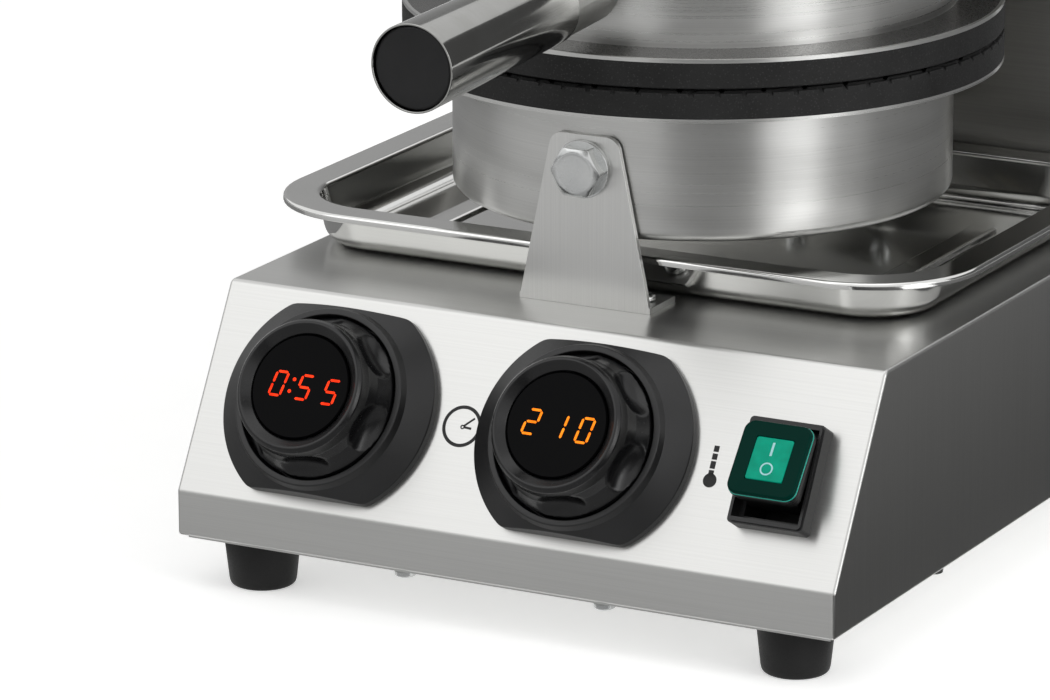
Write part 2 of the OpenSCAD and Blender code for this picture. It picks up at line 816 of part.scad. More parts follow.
// clamp disc under the heater with its three studs
module clamp_disc() {
    drop = heater_tube_d;
    difference() {
        translate([0, 0, -drop - clamp_t]) cylinder(h = clamp_t, d = clamp_d);
        for (s = [-1, 1]) {
            rotate([0, 0, 90 + s * heater_open / 2]) translate([heater_r, 0, -drop - clamp_t - 1])
                cylinder(h = clamp_t + 2, d = 9, $fn = 32);
        }
        translate([0, 0, -drop - clamp_t - 1]) cylinder(h = clamp_t + 2, d = sensor_d + 4, $fn = 32);
    }
    for (a = [60, 180, 300]) {
        rotate([0, 0, a]) translate([clamp_bolt_r, 0, -drop - clamp_t - 6])
            cylinder(h = drop + clamp_t + 10, d = m4, $fn = 24);
        rotate([0, 0, a]) translate([clamp_bolt_r, 0, -drop - clamp_t - 3])
            cylinder(h = 3.2, d = 8, $fn = 6);
    }
}

module lower_heater() {
    color([0.35, 0.33, 0.32]) to_frame() translate([0, plate_y, low_plate_z]) heater();
}

module lower_clamp_disc() {
    color([0.6, 0.6, 0.6]) to_frame() translate([0, plate_y, low_plate_z]) clamp_disc();
}

// mineral wool under the clamp disc
module lower_insulation() {
    color([0.85, 0.8, 0.6]) to_frame() difference() {
        translate([0, plate_y, low_z + drum_t]) cylinder(h = wool_t, d = low_drum_d - 2 * drum_t - 8);
        translate([0, drum_front, bolt_z]) rotate([-90, 0, 0]) cylinder(h = 24, d = 24);
        translate([0, plate_y, neck_z]) rotate([-90, 0, 0]) cylinder(h = 100, d = neck_d);
        translate([0, plate_y, low_z]) cylinder(h = 60, d = 14);
    }
}

// plate temperature sensor standing against the back of the lower plate
module lower_sensor() {
    color([0.8, 0.8, 0.8]) to_frame() translate([0, plate_y, low_plate_z - sensor_len]) {
        cylinder(h = sensor_len, d = sensor_d);
        cylinder(h = 8, d = sensor_d + 3, $fn = 6);
    }
}

module lower_plate_screws() {
    color([0.6, 0.6, 0.6]) to_frame() translate([0, plate_y, low_rim_z]) rim_screw_places()
        mirror([0, 0, 1]) screw(m4, m4_head_d, m4_head_h, rim_t + 4.5);
}

// ---------------------------------------------------------------- hinge on the column
module block_screw_places() {
    for (s = [-1, 1], z = [-1, 1]) {
        translate([s * block_x, hinge_y - block_front, hinge_z + z * (block_h / 2 - 5)])
            rotate([90, 0, 0]) children();
    }
}

// two bearing blocks on the column's front face
module hinge_blocks() {
    deep = column_y - hinge_y + block_front;
    color([0.5, 0.5, 0.52]) to_frame() difference() {
        for (s = [-1, 1]) {
            translate([s * block_x, hinge_y - block_front + deep / 2, 0])
                block(block_w, deep, block_h, hinge_z - block_h / 2);
        }
        along_x(-100, 200) translate([hinge_y, hinge_z]) circle(shaft_d / 2 + shaft_run);
        block_screw_places() translate([0, 0, -60]) cylinder(h = 62, d = m4 + 2 * screw_fit, $fn = 24);
    }
}

module block_screws() {
    deep = column_y - hinge_y + block_front;
    color([0.6, 0.6, 0.6]) to_frame() block_screw_places()
        screw(m4, m4_head_d, m4_head_h, deep + column_t + 5);
}

// ---------------------------------------------------------------- dial controls
// bezel section turned about the dial axis, cut to the two flats
module bezel() {
    difference() {
        intersection() {
            rotate_extrude($fn = 120) difference() {
                union() {
                    polygon([[0, 0], [bezel_d / 2, 0], [bezel_d / 2, bezel_side],
                        [bezel_d / 2 - 1, bezel_side + 0.8], [collar_d / 2 + 1.6, collar_h - 3.2],
                        [collar_d / 2, collar_h - 1.2], [collar_d / 2 - 0.9, collar_h - 0.2],
                        [0, collar_h - 0.2]]);
                    translate([(collar_d + well_d) / 4, collar_h - 0.9]) circle(0.9, $fn = 24);
                }
                translate([0, well_floor]) square([well_d / 2, collar_h]);
                translate([0, -1]) square([hub_d / 2 + 0.1, collar_h]);
            }
            round_block(bezel_d + 2, bezel_flat, collar_h + 2, 8, -1);
        }
    }
}

// fixed hub with its neck through the panel; the dial ring turns round it
module hub() {
    difference() {
        union() {
            cylinder(h = glass_h - glass_t, d = hub_d);
            translate([0, 0, -sheet_t - nut_t - 3]) cylinder(h = sheet_t + nut_t + 3.01, d = hub_neck_d);
        }
        translate([0, 0, -sheet_t - nut_t - 4]) cylinder(h = 40 - 2, d = hub_neck_d - 5);
    }
}

module display() {
    translate([0, 0, glass_h - glass_t]) {
        cylinder(h = glass_t - 0.4, d = hub_d);
        translate([0, 0, glass_t - 0.4]) cylinder(h = 0.4, d1 = hub_d, d2 = hub_d - 0.8);
    }
}

// turned dial ring: bell-shaped outside with finger hollows, funnel to the display
module dial_ring() {
    low = well_floor + part_gap;
    neck_r = hub_d / 2 + hub_ring_gap;
    shoulder = collar_h + 1.2;
    bell_r = 26;
    difference() {
        rotate_extrude($fn = 120) difference() {
            polygon([[neck_r, low], [ring_d / 2, low], [ring_d / 2, shoulder - 1],
                [ring_d / 2 - 0.5, shoulder], [ring_top_d / 2 + 2.2, shoulder + 4.4],
                [ring_top_d / 2 + 0.9, shoulder + 8.2], [ring_top_d / 2 + 0.4, ring_h - 1.4],
                [ring_top_d / 2 - 0.7, ring_h], [ring_top_d / 2 - 1.5, ring_h],
                [neck_r, glass_h - 0.6]]);
        }
        for (i = [0 : hollow_n - 1]) {
            rotate([0, 0, hollow_turn + i * 360 / hollow_n]) finger_hollow();
        }
    }
}

// barrel-shaped scoop lying across the dial axis
module finger_hollow() {
    translate([ring_top_d / 2 + 2.1 + hollow_r - hollow_deep, 0, collar_h + 6]) rotate([90, 0, 0])
        rotate_extrude($fn = 96) intersection() {
            translate([hollow_r - hollow_long_r, 0]) circle(hollow_long_r, $fn = 120);
            translate([0, -hollow_long_r]) square([hollow_r + 1, 2 * hollow_long_r]);
        }
}

// electronics box behind the panel, hollow, with a board inside
module control_module() {
    low = -sheet_t - nut_t - 4;
    difference() {
        block(module_w, module_w, module_t, low - module_t);
        block(module_w - 4, module_w - 4, module_t - 4, low - module_t + 2);
        translate([0, 0, low - 3]) cylinder(h = 4, d = hub_neck_d - 6);
    }
}

module timer_bezel() {
    color([0.12, 0.12, 0.12]) to_frame() on_panel(timer_x, dial_v) bezel();
}

module timer_hub() {
    color([0.08, 0.08, 0.08]) to_frame() on_panel(timer_x, dial_v) hub();
}

module timer_display() {
    color([0.02, 0.02, 0.02]) to_frame() on_panel(timer_x, dial_v) display();
}

module timer_module() {
    color([0.15, 0.15, 0.16]) to_frame() on_panel(timer_x, dial_v) control_module();
}

module timer_dial_ring() {
    color([0.1, 0.1, 0.1]) to_frame() on_panel(timer_x, dial_v) dial_ring();
}

module temperature_bezel() {
    color([0.12, 0.12, 0.12]) to_frame() on_panel(temp_x, dial_v) bezel();
}

module temperature_hub() {
    color([0.08, 0.08, 0.08]) to_frame() on_panel(temp_x, dial_v) hub();
}

module temperature_display() {
    color([0.02, 0.02, 0.02]) to_frame() on_panel(temp_x, dial_v) display();
}

module temperature_module() {
    color([0.15, 0.15, 0.16]) to_frame() on_panel(temp_x, dial_v) control_module();
}

module temperature_dial_ring() {
    color([0.1, 0.1, 0.1]) to_frame() on_panel(temp_x, dial_v) dial_ring();
}

// ring nuts that clamp the hubs behind the panel
module hub_nuts() {
    color([0.6, 0.6, 0.6]) to_frame() for (x = dials) {
        on_panel(x, dial_v) translate([0, 0, -sheet_t - nut_t]) difference() {
            cylinder(h = nut_t, d = 38, $fn = 6);
            translate([0, 0, -1]) cylinder(h = nut_t + 2, d = hub_neck_d + 0.04);
        }
    }
}

// ---------------------------------------------------------------- rocker switch
// fixed frame on the panel with the switch body behind it
module switch_frame() {
    color([0.06, 0.06, 0.06]) to_frame() on_panel(switch_x, switch_v) difference() {
        union() {
            round_block(frame_w, frame_l, frame_h - 1, 1.5);
            round_block(frame_w - 1.2, frame_l - 1.2, 1, 1.5, frame_h - 1);
            block(body_w, body_l, body_deep + 0.01, -body_deep);
        }
        block(body_w, body_l, frame_h, 1.5);
        block(cavity_w, cavity_l, body_deep + frame_h, -body_deep + 4);
        rotate([0, 90, 0]) translate([pivot_in, 0, -20]) cylinder(h = 40, d = switch_pin_d + 0.04, $fn = 32);
    }
}

module switch_pin() {
    color([0.7, 0.7, 0.7]) to_frame() on_panel(switch_x, switch_v) translate([0, 0, -pivot_in])
        rotate([0, 90, 0]) translate([0, 0, -body_w / 2 + 0.2]) cylinder(h = body_w - 0.4, d = switch_pin_d, $fn = 32);
}

// rocker place: local Z is the rocker's own outward direction from the pivot
module on_rocker() {
    on_panel(switch_x, switch_v) translate([0, 0, -pivot_in]) rotate([-rocker_lean, 0, 0]) children();
}

// black skirt and pivot block of the rocker
module switch_skirt() {
    color([0.05, 0.05, 0.05]) to_frame() on_rocker() difference() {
        union() {
            round_block(skirt_w, skirt_l, 3, 3, cap_low - 3);
            block(cavity_w - 1.4, 22, cap_low - 2, -1);
            rotate([0, 90, 0]) translate([0, 0, -cavity_w / 2 + 0.7]) cylinder(h = cavity_w - 1.4, d = 9);
        }
        rotate([0, 90, 0]) translate([0, 0, -20]) cylinder(h = 40, d = switch_pin_d + 0.1, $fn = 32);
        block(key_w + 1, key_l + 1, 20, key_low);
    }
}

// green key inside the cap
module switch_key() {
    color([0.0, 0.6, 0.35]) to_frame() on_rocker() round_block(key_w, key_l, cap_top - cap_wall - 1.4 - key_low, 2, key_low);
}

// clear cap over the key
module switch_cap() {
    color([0.0, 0.4, 0.25, 0.6]) to_frame() on_rocker() difference() {
        union() {
            round_block(cap_w, cap_l, cap_top - cap_low - 1, cap_r, cap_low);
            round_block(cap_w - 1, cap_l - 1, 1.01, cap_r - 0.5, cap_top - 1.01);
        }
        round_block(cap_w - 2 * cap_wall, cap_l - 2 * cap_wall, cap_top - cap_low - cap_wall + 1, cap_r - cap_wall, cap_low - 1);
    }
}

// ---------------------------------------------------------------- inside the base
module board_posts() {
    color([0.7, 0.6, 0.3]) to_frame() post_places() cylinder(h = post_h, d = 6, $fn = 6);
}

module control_board() {
    color([0.05, 0.3, 0.12]) to_frame() translate([board_x, board_y, base_z + post_h]) {
        block(board_w, board_l, board_t);
        translate([-35, 10, 0]) block(34, 30, 22, board_t);
        translate([8, 18, 0]) block(18, 22, 16, board_t);
        translate([38, 15, 0]) block(16, 28, 14, board_t);
        for (i = [0 : 3]) {
            translate([-48 + i * 15, -22, board_t]) cylinder(h = 14, d = 10, $fn = 32);
        }
        translate([36, -24, 0]) block(40, 9, 10, board_t);
    }
}

module terminal_block() {
    color([0.85, 0.85, 0.82]) to_frame() translate([terminal_x, terminal_y, base_z]) difference() {
        block(58, 22, 18);
        for (i = [-2 : 2]) {
            translate([i * 11, 0, 10]) cylinder(h = 10, d = 6, $fn = 32);
        }
    }
}

module power_relay() {
    color([0.2, 0.2, 0.22]) to_frame() translate([relay_x, relay_y, base_z]) {
        block(58, 45, 6);
        block(45, 45, 24, 6);
        for (i = [-4 : 4]) {
            translate([i * 5, 0, 0]) block(1.6, 45, 34, 6);
        }
    }
}

// ---------------------------------------------------------------- rear fittings
module cable_gland() {
    color([0.1, 0.1, 0.1]) to_frame() translate([gland_x, base_d, base_z + gland_up]) rotate([-90, 0, 0])
        difference() {
            union() {
                cylinder(h = 5, d = gland_af / cos(30), $fn = 6);
                translate([0, 0, 5]) cylinder(h = 4, d = gland_af - 1);
                translate([0, 0, 9]) cylinder(h = gland_out - 12, d = gland_af - 1.5);
                translate([0, 0, gland_out - 3]) cylinder(h = 3, d1 = gland_af - 1.5, d2 = gland_af - 7);
                translate([0, 0, -10]) cylinder(h = 10.01, d = gland_thread_d);
                translate([0, 0, -sheet_t - 5]) cylinder(h = 5, d = 28, $fn = 6);
            }
            translate([0, 0, -20]) cylinder(h = gland_out + 30, d = gland_bore_d, $fn = 48);
        }
}

module bonding_stud() {
    color([0.75, 0.6, 0.3]) to_frame() translate([bond_x, base_d, base_z + gland_up]) rotate([-90, 0, 0]) {
        translate([0, 0, -12]) cylinder(h = 26, d = m5, $fn = 32);
        cylinder(h = 1.2, d = 12, $fn = 48);
        translate([0, 0, 1.2]) cylinder(h = 4, d = 9, $fn = 6);
        translate([0, 0, -sheet_t - 4]) cylinder(h = 4, d = 9, $fn = 6);
    }
}

// ---------------------------------------------------------------- lid
module handle_place() {
    translate([0, -handle_front, handle_z]) rotate([-90 + handle_tilt, 0, 0]) children();
}

module upper_drum() {
    color([0.72, 0.72, 0.7]) to_frame() difference() {
        translate([0, plate_y, lid_z]) mirror([0, 0, 1]) rotate_extrude($fn = 180)
            drum_section(up_drum_d, up_drum_h);
        handle_place() translate([0, 0, grip_len + stem_len - 4]) cylinder(h = 30, d = rod_d + 0.6, $fn = 48);
        translate([0, plate_y, up_rim_z - 1]) rotate([0, 0, 180]) rim_screw_places()
            cylinder(h = rim_t + 2, d = m4 + 2 * screw_fit, $fn = 24);
        yoke_screw_places() translate([0, 0, -4]) cylinder(h = 8, d = m5 + 2 * screw_fit, $fn = 24);
    }
}

module upper_plate() {
    color([0.19, 0.19, 0.19]) to_frame() translate([0, plate_y, up_rim_z]) rotate([180, 0, 0]) baking_plate();
}

module upper_heater() {
    color([0.35, 0.33, 0.32]) to_frame() translate([0, plate_y, up_rim_z]) rotate([180, 0, 0]) heater();
}

module upper_clamp_disc() {
    color([0.6, 0.6, 0.6]) to_frame() translate([0, plate_y, up_rim_z]) rotate([180, 0, 0]) clamp_disc();
}

module upper_insulation() {
    color([0.85, 0.8, 0.6]) to_frame() difference() {
        translate([0, plate_y, lid_z - drum_t - wool_t + 2]) cylinder(h = wool_t - 2, d = up_drum_d - 2 * drum_t - 8);
        yoke_screw_places() translate([0, 0, -12]) cylinder(h = 12, d = 11, $fn = 32);
        handle_place() translate([0, 0, grip_len + stem_len - 4]) cylinder(h = 30, d = 20, $fn = 32);
    }
}

module upper_plate_screws() {
    color([0.6, 0.6, 0.6]) to_frame() translate([0, plate_y, up_z]) rotate([0, 0, 180]) rim_screw_places()
        screw(m4, m4_head_d, m4_head_h, rim_t + 4.5);
}

module yoke_screw_places() {
    for (p = yoke_bolts) {
        translate([p[0], plate_y + up_drum_d / 2 - 8 - p[1], lid_z]) children();
    }
}

// yoke bolted on the upper drum, with the two ears that ride on the shaft
module lid_yoke() {
    back = plate_y + up_drum_d / 2 - 5;
    front = back - yoke_d;
    wide = 2 * ear_x + ear_t;
    color([0.5, 0.5, 0.52]) to_frame() difference() {
        union() {
            translate([-wide / 2, front, lid_z]) cube([wide, yoke_d, yoke_t]);
            for (s = [-1, 1]) {
                along_x(s * ear_x - ear_t / 2, ear_t) {
                    polygon([[front + 8, lid_z], [back, lid_z], [hinge_y - 2, hinge_z - ear_r + 0.3],
                        [hinge_y, hinge_z], [hinge_y - 5, hinge_z + ear_r - 1.3],
                        [hinge_y - 21, hinge_z + 1.2], [front + 8, lid_z + 8]]);
                    translate([hinge_y, hinge_z]) circle(ear_r);
                }
            }
        }
        along_x(-100, 200) translate([hinge_y, hinge_z]) circle(shaft_d / 2 + 0.01);
        yoke_screw_places() translate([0, 0, -1]) cylinder(h = 8, d = m5 + 2 * screw_fit, $fn = 24);
    }
}

module yoke_screws() {
    color([0.6, 0.6, 0.6]) to_frame() yoke_screw_places() translate([0, 0, yoke_t])
        screw(m5, m5_head_d, m5_head_h, yoke_t + drum_t + 5);
}

module hinge_shaft() {
    color([0.7, 0.7, 0.72]) to_frame() along_x(-shaft_len / 2, shaft_len)
        translate([hinge_y, hinge_z]) circle(shaft_d / 2);
}

// polished grip: tapered sleeve, thin at both ends, thick in its middle
module handle_grip() {
    step_r = grip_r_rear - grip_wall;
    color([0.8, 0.8, 0.78]) to_frame() handle_place() difference() {
        cylinder(h = grip_len, r1 = grip_r_front, r2 = grip_r_rear);
        translate([0, 0, -1]) cylinder(h = 9, r = grip_r_front - grip_wall - 0.1);
        cylinder(h = grip_len - 1, r = rod_d / 2 + 3);
        translate([0, 0, grip_len - stem_in]) cylinder(h = stem_in + 1, r = step_r);
    }
}

// satin stem from the grip to the drum, with the rod that holds the handle
module handle_stem() {
    far = grip_len + stem_len;
    color([0.62, 0.62, 0.6]) to_frame() {
        difference() {
            handle_place() difference() {
                translate([0, 0, grip_len - stem_in]) union() {
                    cylinder(h = stem_in, r = grip_r_rear - grip_wall - 0.02);
                    translate([0, 0, stem_in]) cylinder(h = stem_len + 10, r1 = grip_r_rear - grip_wall - 0.02, r2 = stem_r);
                }
                translate([0, 0, grip_len - stem_in + 4])
                    cylinder(h = stem_len + stem_in + 10, r = stem_r - stem_t);
            }
            translate([0, plate_y, up_rim_z]) cylinder(h = 60, d = up_drum_d, $fn = 180);
        }
        handle_place() translate([0, 0, 7]) {
            cylinder(h = far + 5, d = rod_d, $fn = 48);
            translate([0, 0, far - 3.5]) cylinder(h = 6, d = 14, $fn = 6);
        }
    }
}

module handle_end_cap() {
    color([0.16, 0.16, 0.17]) to_frame() handle_place() translate([0, 0, cap_set]) difference() {
        union() {
            cylinder(h = 1, r1 = grip_r_front - grip_wall - 0.9, r2 = grip_r_front - grip_wall - 0.16);
            translate([0, 0, 1]) cylinder(h = 6.2 - cap_set, r = grip_r_front - grip_wall - 0.16);
        }
        translate([0, 0, 3]) cylinder(h = 10, r = rod_d / 2 + 2);
    }
}

// ---------------------------------------------------------------- drip tray
// solid dish: the outline is carried round four corners and along four sides
// o is the set in from the tray's outer edge, r its plan radius; steps are [set in, z]
module dish(steps) {
    cx = tray_w / 2 - tray_corner;
    cy = tray_d / 2 - tray_corner;
    top = steps[len(steps) - 1][1];
    low = steps[0][1];
    translate([-tray_shift, tray_y + tray_d / 2, tray_z]) {
        block(2 * cx + 0.01, 2 * cy + 0.01, top - low, low);
        for (sx = [-1, 1], sy = [-1, 1]) {
            translate([sx * cx, sy * cy, 0]) rotate_extrude($fn = 96)
                polygon(concat([[0, low]], [for (s = steps) [tray_corner - s[0], s[1]]], [[0, top]]));
        }
        for (s = [-1, 1]) {
            translate([s * cx, cy, 0]) rotate([90, 0, 0]) linear_extrude(2 * cy) mirror([s < 0 ? 1 : 0, 0])
                polygon(concat([[-0.01, low]], [for (p = steps) [tray_corner - p[0], p[1]]], [[-0.01, top]]));
            translate([-cx, s * cy, 0]) rotate([90, 0, 90]) linear_extrude(2 * cx) mirror([s < 0 ? 1 : 0, 0])
                polygon(concat([[-0.01, low]], [for (p = steps) [tray_corner - p[0], p[1]]], [[-0.01, top]]));
        }
    }
}

// bowl side from the floor up: quarter round and a slightly sloping wall
function bowl_steps(o, r, low, top) =
    let (run = tray_draft * (top - low - r) / (tray_h - r))
    concat([for (i = [0 : 6]) [o + run + r - r * sin(i * 15), low + r - r * cos(i * 15)]], [[o, top]]);

module drip_tray() {
    t = tray_t;
    in = tray_rim;
    color([0.8, 0.8, 0.79]) to_frame() difference() {
        union() {
            dish(bowl_steps(in - t, tray_floor_r, 0, tray_h - 0.5));
            dish([[0.6, tray_h - tray_roll], [0, tray_h - tray_roll + 0.6], [0, tray_h - 0.8], [0.8, tray_h]]);
        }
        dish(bowl_steps(in, tray_floor_r - t, t, tray_h + 0.01));
        difference() {
            dish([[t + 0.6, tray_h - tray_roll - 1], [t + 0.6, tray_h - t]]);
            dish([[in - t - 0.01, tray_h - tray_roll - 2], [in - t - 0.01, tray_h]]);
        }
    }
    color([0.8, 0.8, 0.79]) to_frame() for (s = [-1, 1]) {
        translate([-tray_shift + s * rib_x, tray_y + tray_d / 2, tray_z + t - 0.01])
            linear_extrude(rib_h) slot(rib_w, rib_len);
    }
}

base_housing();
floor_plate();
rubber_feet();
foot_screws();
floor_screws();
front_bracket();
bracket_bolt();
bracket_washer();
bracket_nut();
bracket_screws();
rear_column();
column_cover();
column_screws();
cover_screws();
drum_neck();
neck_screws();
lower_drum();
lower_plate();
lower_heater();
lower_clamp_disc();
lower_insulation();
lower_sensor();
lower_plate_screws();
hinge_blocks();
block_screws();
timer_bezel();
timer_hub();
timer_display();
timer_module();
timer_dial_ring();
temperature_bezel();
temperature_hub();
temperature_display();
temperature_module();
temperature_dial_ring();
hub_nuts();
switch_frame();
switch_pin();
switch_skirt();
switch_key();
switch_cap();
control_board();
board_posts();
terminal_block();
power_relay();
cable_gland();
bonding_stud();
upper_drum();
upper_plate();
upper_heater();
upper_clamp_disc();
upper_insulation();
upper_plate_screws();
lid_yoke();
yoke_screws();
hinge_shaft();
handle_grip();
handle_stem();
handle_end_cap();
drip_tray();
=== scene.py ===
# %% [markdown]
# # A waffle cone maker, dressed for the studio
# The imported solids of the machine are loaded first. They fix where everything
# is and what moves. This script gives each visible surface its real finish, and
# remakes the pieces whose form needs rounder or finer shapes than the solids.

# %% Load the solids
import math

import bmesh
import bpy
import numpy as np
from mathutils import Matrix, Vector


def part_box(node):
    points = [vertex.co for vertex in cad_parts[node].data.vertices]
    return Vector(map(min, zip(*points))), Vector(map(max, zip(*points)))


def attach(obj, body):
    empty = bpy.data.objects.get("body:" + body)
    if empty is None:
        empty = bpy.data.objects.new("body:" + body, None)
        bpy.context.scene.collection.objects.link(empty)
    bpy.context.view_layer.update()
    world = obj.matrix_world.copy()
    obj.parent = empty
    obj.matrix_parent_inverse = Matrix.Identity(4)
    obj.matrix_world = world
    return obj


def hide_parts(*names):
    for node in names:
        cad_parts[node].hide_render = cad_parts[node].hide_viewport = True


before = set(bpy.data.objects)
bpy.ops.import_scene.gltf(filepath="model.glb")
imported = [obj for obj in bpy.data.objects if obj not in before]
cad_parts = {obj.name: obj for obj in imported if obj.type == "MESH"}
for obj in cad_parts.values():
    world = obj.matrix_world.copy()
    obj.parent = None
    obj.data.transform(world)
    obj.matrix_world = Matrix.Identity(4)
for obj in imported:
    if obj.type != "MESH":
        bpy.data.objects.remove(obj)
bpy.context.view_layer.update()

# %% [markdown]
# ## Places on the machine
# A maker measures from the machine itself: from the lip at the front, the middle
# of the housing and the table. `at` turns such millimetres into the scene's
# metres, and `panel_at` does the same for the sloped control panel, where `v`
# runs up the slope and `h` stands out from it.

# %% Measure from the machine's own edges
MM = 0.001
house_lo, house_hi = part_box("base_housing")
HOME = Vector(((house_lo.x + house_hi.x) / 2, house_lo.y, 0))
LEAN = math.radians(30)
PANEL_FOOT = 35.1
TOP = house_hi.z / MM


def at(x, y, z):
    return HOME + Vector((x, y, z)) * MM


def panel_at(x, v, h=0.0):
    y = v * math.sin(LEAN) - h * math.cos(LEAN)
    z = PANEL_FOOT + v * math.cos(LEAN) + h * math.sin(LEAN)
    return at(x, y, z)


def panel_matrix(x, v, h=0.0):
    turn = Matrix.Rotation(math.pi / 2 - LEAN, 4, "X")
    return Matrix.Translation(panel_at(x, v, h)) @ turn @ Matrix.Scale(MM, 4)


print("base top at", round(TOP, 2), "mm")

# %% [markdown]
# ## A camera with a long lens
# The machine is seen from its right front and a little from above, with a long
# lens that keeps its edges almost parallel. The three angles make the camera's
# own axes, so no constraint is needed.

# %% Set the camera
YAW, PITCH, ROLL = math.radians(28.15), math.radians(15.90), math.radians(-0.19)
EYE = at(953.1, -1761.0, 671.9)
FOCAL_MM, SENSOR_MM = 215.2, 36


def new_object(name, data):
    """An object at the origin, linked to the scene."""
    thing = bpy.data.objects.new(name, data)
    bpy.context.collection.objects.link(thing)
    return thing


back = Vector((math.sin(YAW) * math.cos(PITCH), -math.cos(YAW) * math.cos(PITCH), math.sin(PITCH)))
right = (-back).cross(Vector((0, 0, 1))).normalized()
up = right.cross(-back)
level_right = right * math.cos(ROLL) + up * math.sin(ROLL)
level_up = up * math.cos(ROLL) - right * math.sin(ROLL)
lens = bpy.data.cameras.new("studio_camera")
lens.lens, lens.sensor_width = FOCAL_MM, SENSOR_MM
lens.clip_start, lens.clip_end = 0.05, 30
camera = new_object("studio_camera", lens)
camera.matrix_world = Matrix.Translation(EYE) @ Matrix((level_right, level_up, back)).transposed().to_4x4()
bpy.context.scene.camera = camera
bpy.context.scene.view_settings.view_transform = "Standard"
print("camera", [round(c, 3) for c in camera.location])

# %% [markdown]
# ## Helpers for shader nodes
# Every finish below is a small tree of shader nodes. `add` makes a node, sets its
# properties, and fills each input with either a number or another node's output.
# No real surface is one flat colour, so `two_toned` lets noise move it between two
# close tones. `surface` ends a tree with one shader, and `grained` does so with a
# fine relief and a roughness that varies.

# %% Helpers for finishes
FINISHES = {}


def srgb(code):
    """A hex colour as the linear numbers that light is added up in."""
    parts = [int(code[i:i + 2], 16) / 255 for i in (1, 3, 5)]
    linear = [c / 12.92 if c <= 0.04045 else ((c + 0.055) / 1.055) ** 2.4 for c in parts]
    return (*linear, 1.0)


def add(tree, kind, inputs=None, **settings):
    made = tree.nodes.new(kind)
    for key, value in settings.items():
        setattr(made, key, value)
    for key, value in (inputs or {}).items():
        if isinstance(value, bpy.types.NodeSocket):
            tree.links.new(value, made.inputs[key])
        else:
            made.inputs[key].default_value = value
    return made


def new_finish(name):
    """An empty tree for a named finish, and each point's place on the piece."""
    made = bpy.data.materials.new(name)
    made.use_nodes = True
    made.node_tree.nodes.clear()
    FINISHES[name] = made
    return made.node_tree, add(made.node_tree, "ShaderNodeTexCoord").outputs["Object"]


def two_toned(tree, noise, dark, tint, start=0.3, end=0.7):
    """Goes from `dark` to `tint` while the noise goes from `start` to `end`."""
    level = add(tree, "ShaderNodeMapRange", {"Value": noise, "From Min": start, "From Max": end}).outputs[0]
    return add(tree, "ShaderNodeMix", {0: level, 6: srgb(dark), 7: srgb(tint)}, data_type="RGBA").outputs[2]


def surface(tree, inputs):
    shader = add(tree, "ShaderNodeBsdfPrincipled", inputs)
    add(tree, "ShaderNodeOutputMaterial", {"Surface": shader.outputs[0]})


def grained(tree, noise, rough, share, relief, depth_mm, inputs, height=None, start=0.3, end=0.7):
    """The noise moves the roughness by `share`, and raises the relief unless a `height` is given."""
    height = height or noise
    bump = add(tree, "ShaderNodeBump", {"Height": height, "Strength": relief, "Distance": depth_mm * MM})
    uneven = add(tree, "ShaderNodeMapRange", {"Value": noise, "From Min": start, "From Max": end, "To Min":
                                              rough * (1 - share), "To Max": min(rough * (1 + share), 1)})
    surface(tree, {"Roughness": uneven.outputs[0], "Normal": bump.outputs[0], **inputs})


print("mid grey is", round(srgb("#808080")[0], 3), "in linear light")

# %% [markdown]
# ## Brushed stainless sheet
# The housing is cold rolled stainless steel, ground with a belt. The belt leaves
# long parallel scratches, and these do two things: fine lines can be seen, and
# each highlight is smeared across them. Noise that is stretched along the grain
# draws the lines, and the shader's anisotropy with a tangent at right angles to
# the grain does the smear. The belt's scratches are about 0.05 mm wide; they are
# drawn 0.6 mm wide, because finer ones would vanish in a picture.

# %% Brushed sheet
CELLS_ALONG, CELLS_ACROSS = 9, 1 / (0.6 * MM)  # cells of noise in a metre
ALONG_X, ALONG_Y, ALONG_Z = (1.0, 0.0, 0.0), (0.0, 1.0, 0.0), (0.0, 0.0, 1.0)


def brushed_sheet(name, tint, dark, rough, grain, side_grain=None):
    """`side_grain` is the grain of the faces that look along X."""
    tree, place = new_finish(name)
    normal = add(tree, "ShaderNodeNewGeometry").outputs["Normal"]

    def scratched(direction):
        cells = [CELLS_ALONG if axis else CELLS_ACROSS for axis in direction]
        mapped = add(tree, "ShaderNodeMapping", {"Vector": place, "Scale": cells}).outputs[0]
        lines = add(tree, "ShaderNodeTexNoise", {"Vector": mapped, "Scale": 1.0, "Detail": 4.0,
                                                 "Roughness": 0.65}).outputs["Fac"]
        across = add(tree, "ShaderNodeVectorMath", {0: normal, 1: direction}, operation="CROSS_PRODUCT")
        return lines, across.outputs[0]

    noise, smear_way = scratched(grain)
    if side_grain:
        side_noise, side_way = scratched(side_grain)
        facing = add(tree, "ShaderNodeSeparateXYZ", {0: normal}).outputs["X"]
        facing = add(tree, "ShaderNodeMath", {0: facing}, operation="ABSOLUTE").outputs[0]
        on_side = add(tree, "ShaderNodeMath", {0: facing, 1: 0.7}, operation="GREATER_THAN").outputs[0]
        noise = add(tree, "ShaderNodeMix", {0: on_side, 2: noise, 3: side_noise}).outputs[0]
        smear_way = add(tree, "ShaderNodeMix", {0: on_side, 4: smear_way, 5: side_way},
                        data_type="VECTOR").outputs[1]
    grained(tree, noise, rough, 0.08, 0.06, 0.02, {
        "Base Color": two_toned(tree, noise, dark, tint), "Metallic": 1.0,
        "Anisotropic": 0.7, "Tangent": smear_way})


# The housing: bright, with level lines on the front and top and upright ones on its sides.
brushed_sheet("belt_ground_stainless", "#d0d0ce", "#c8c8c6", 0.30, ALONG_X, ALONG_Z)
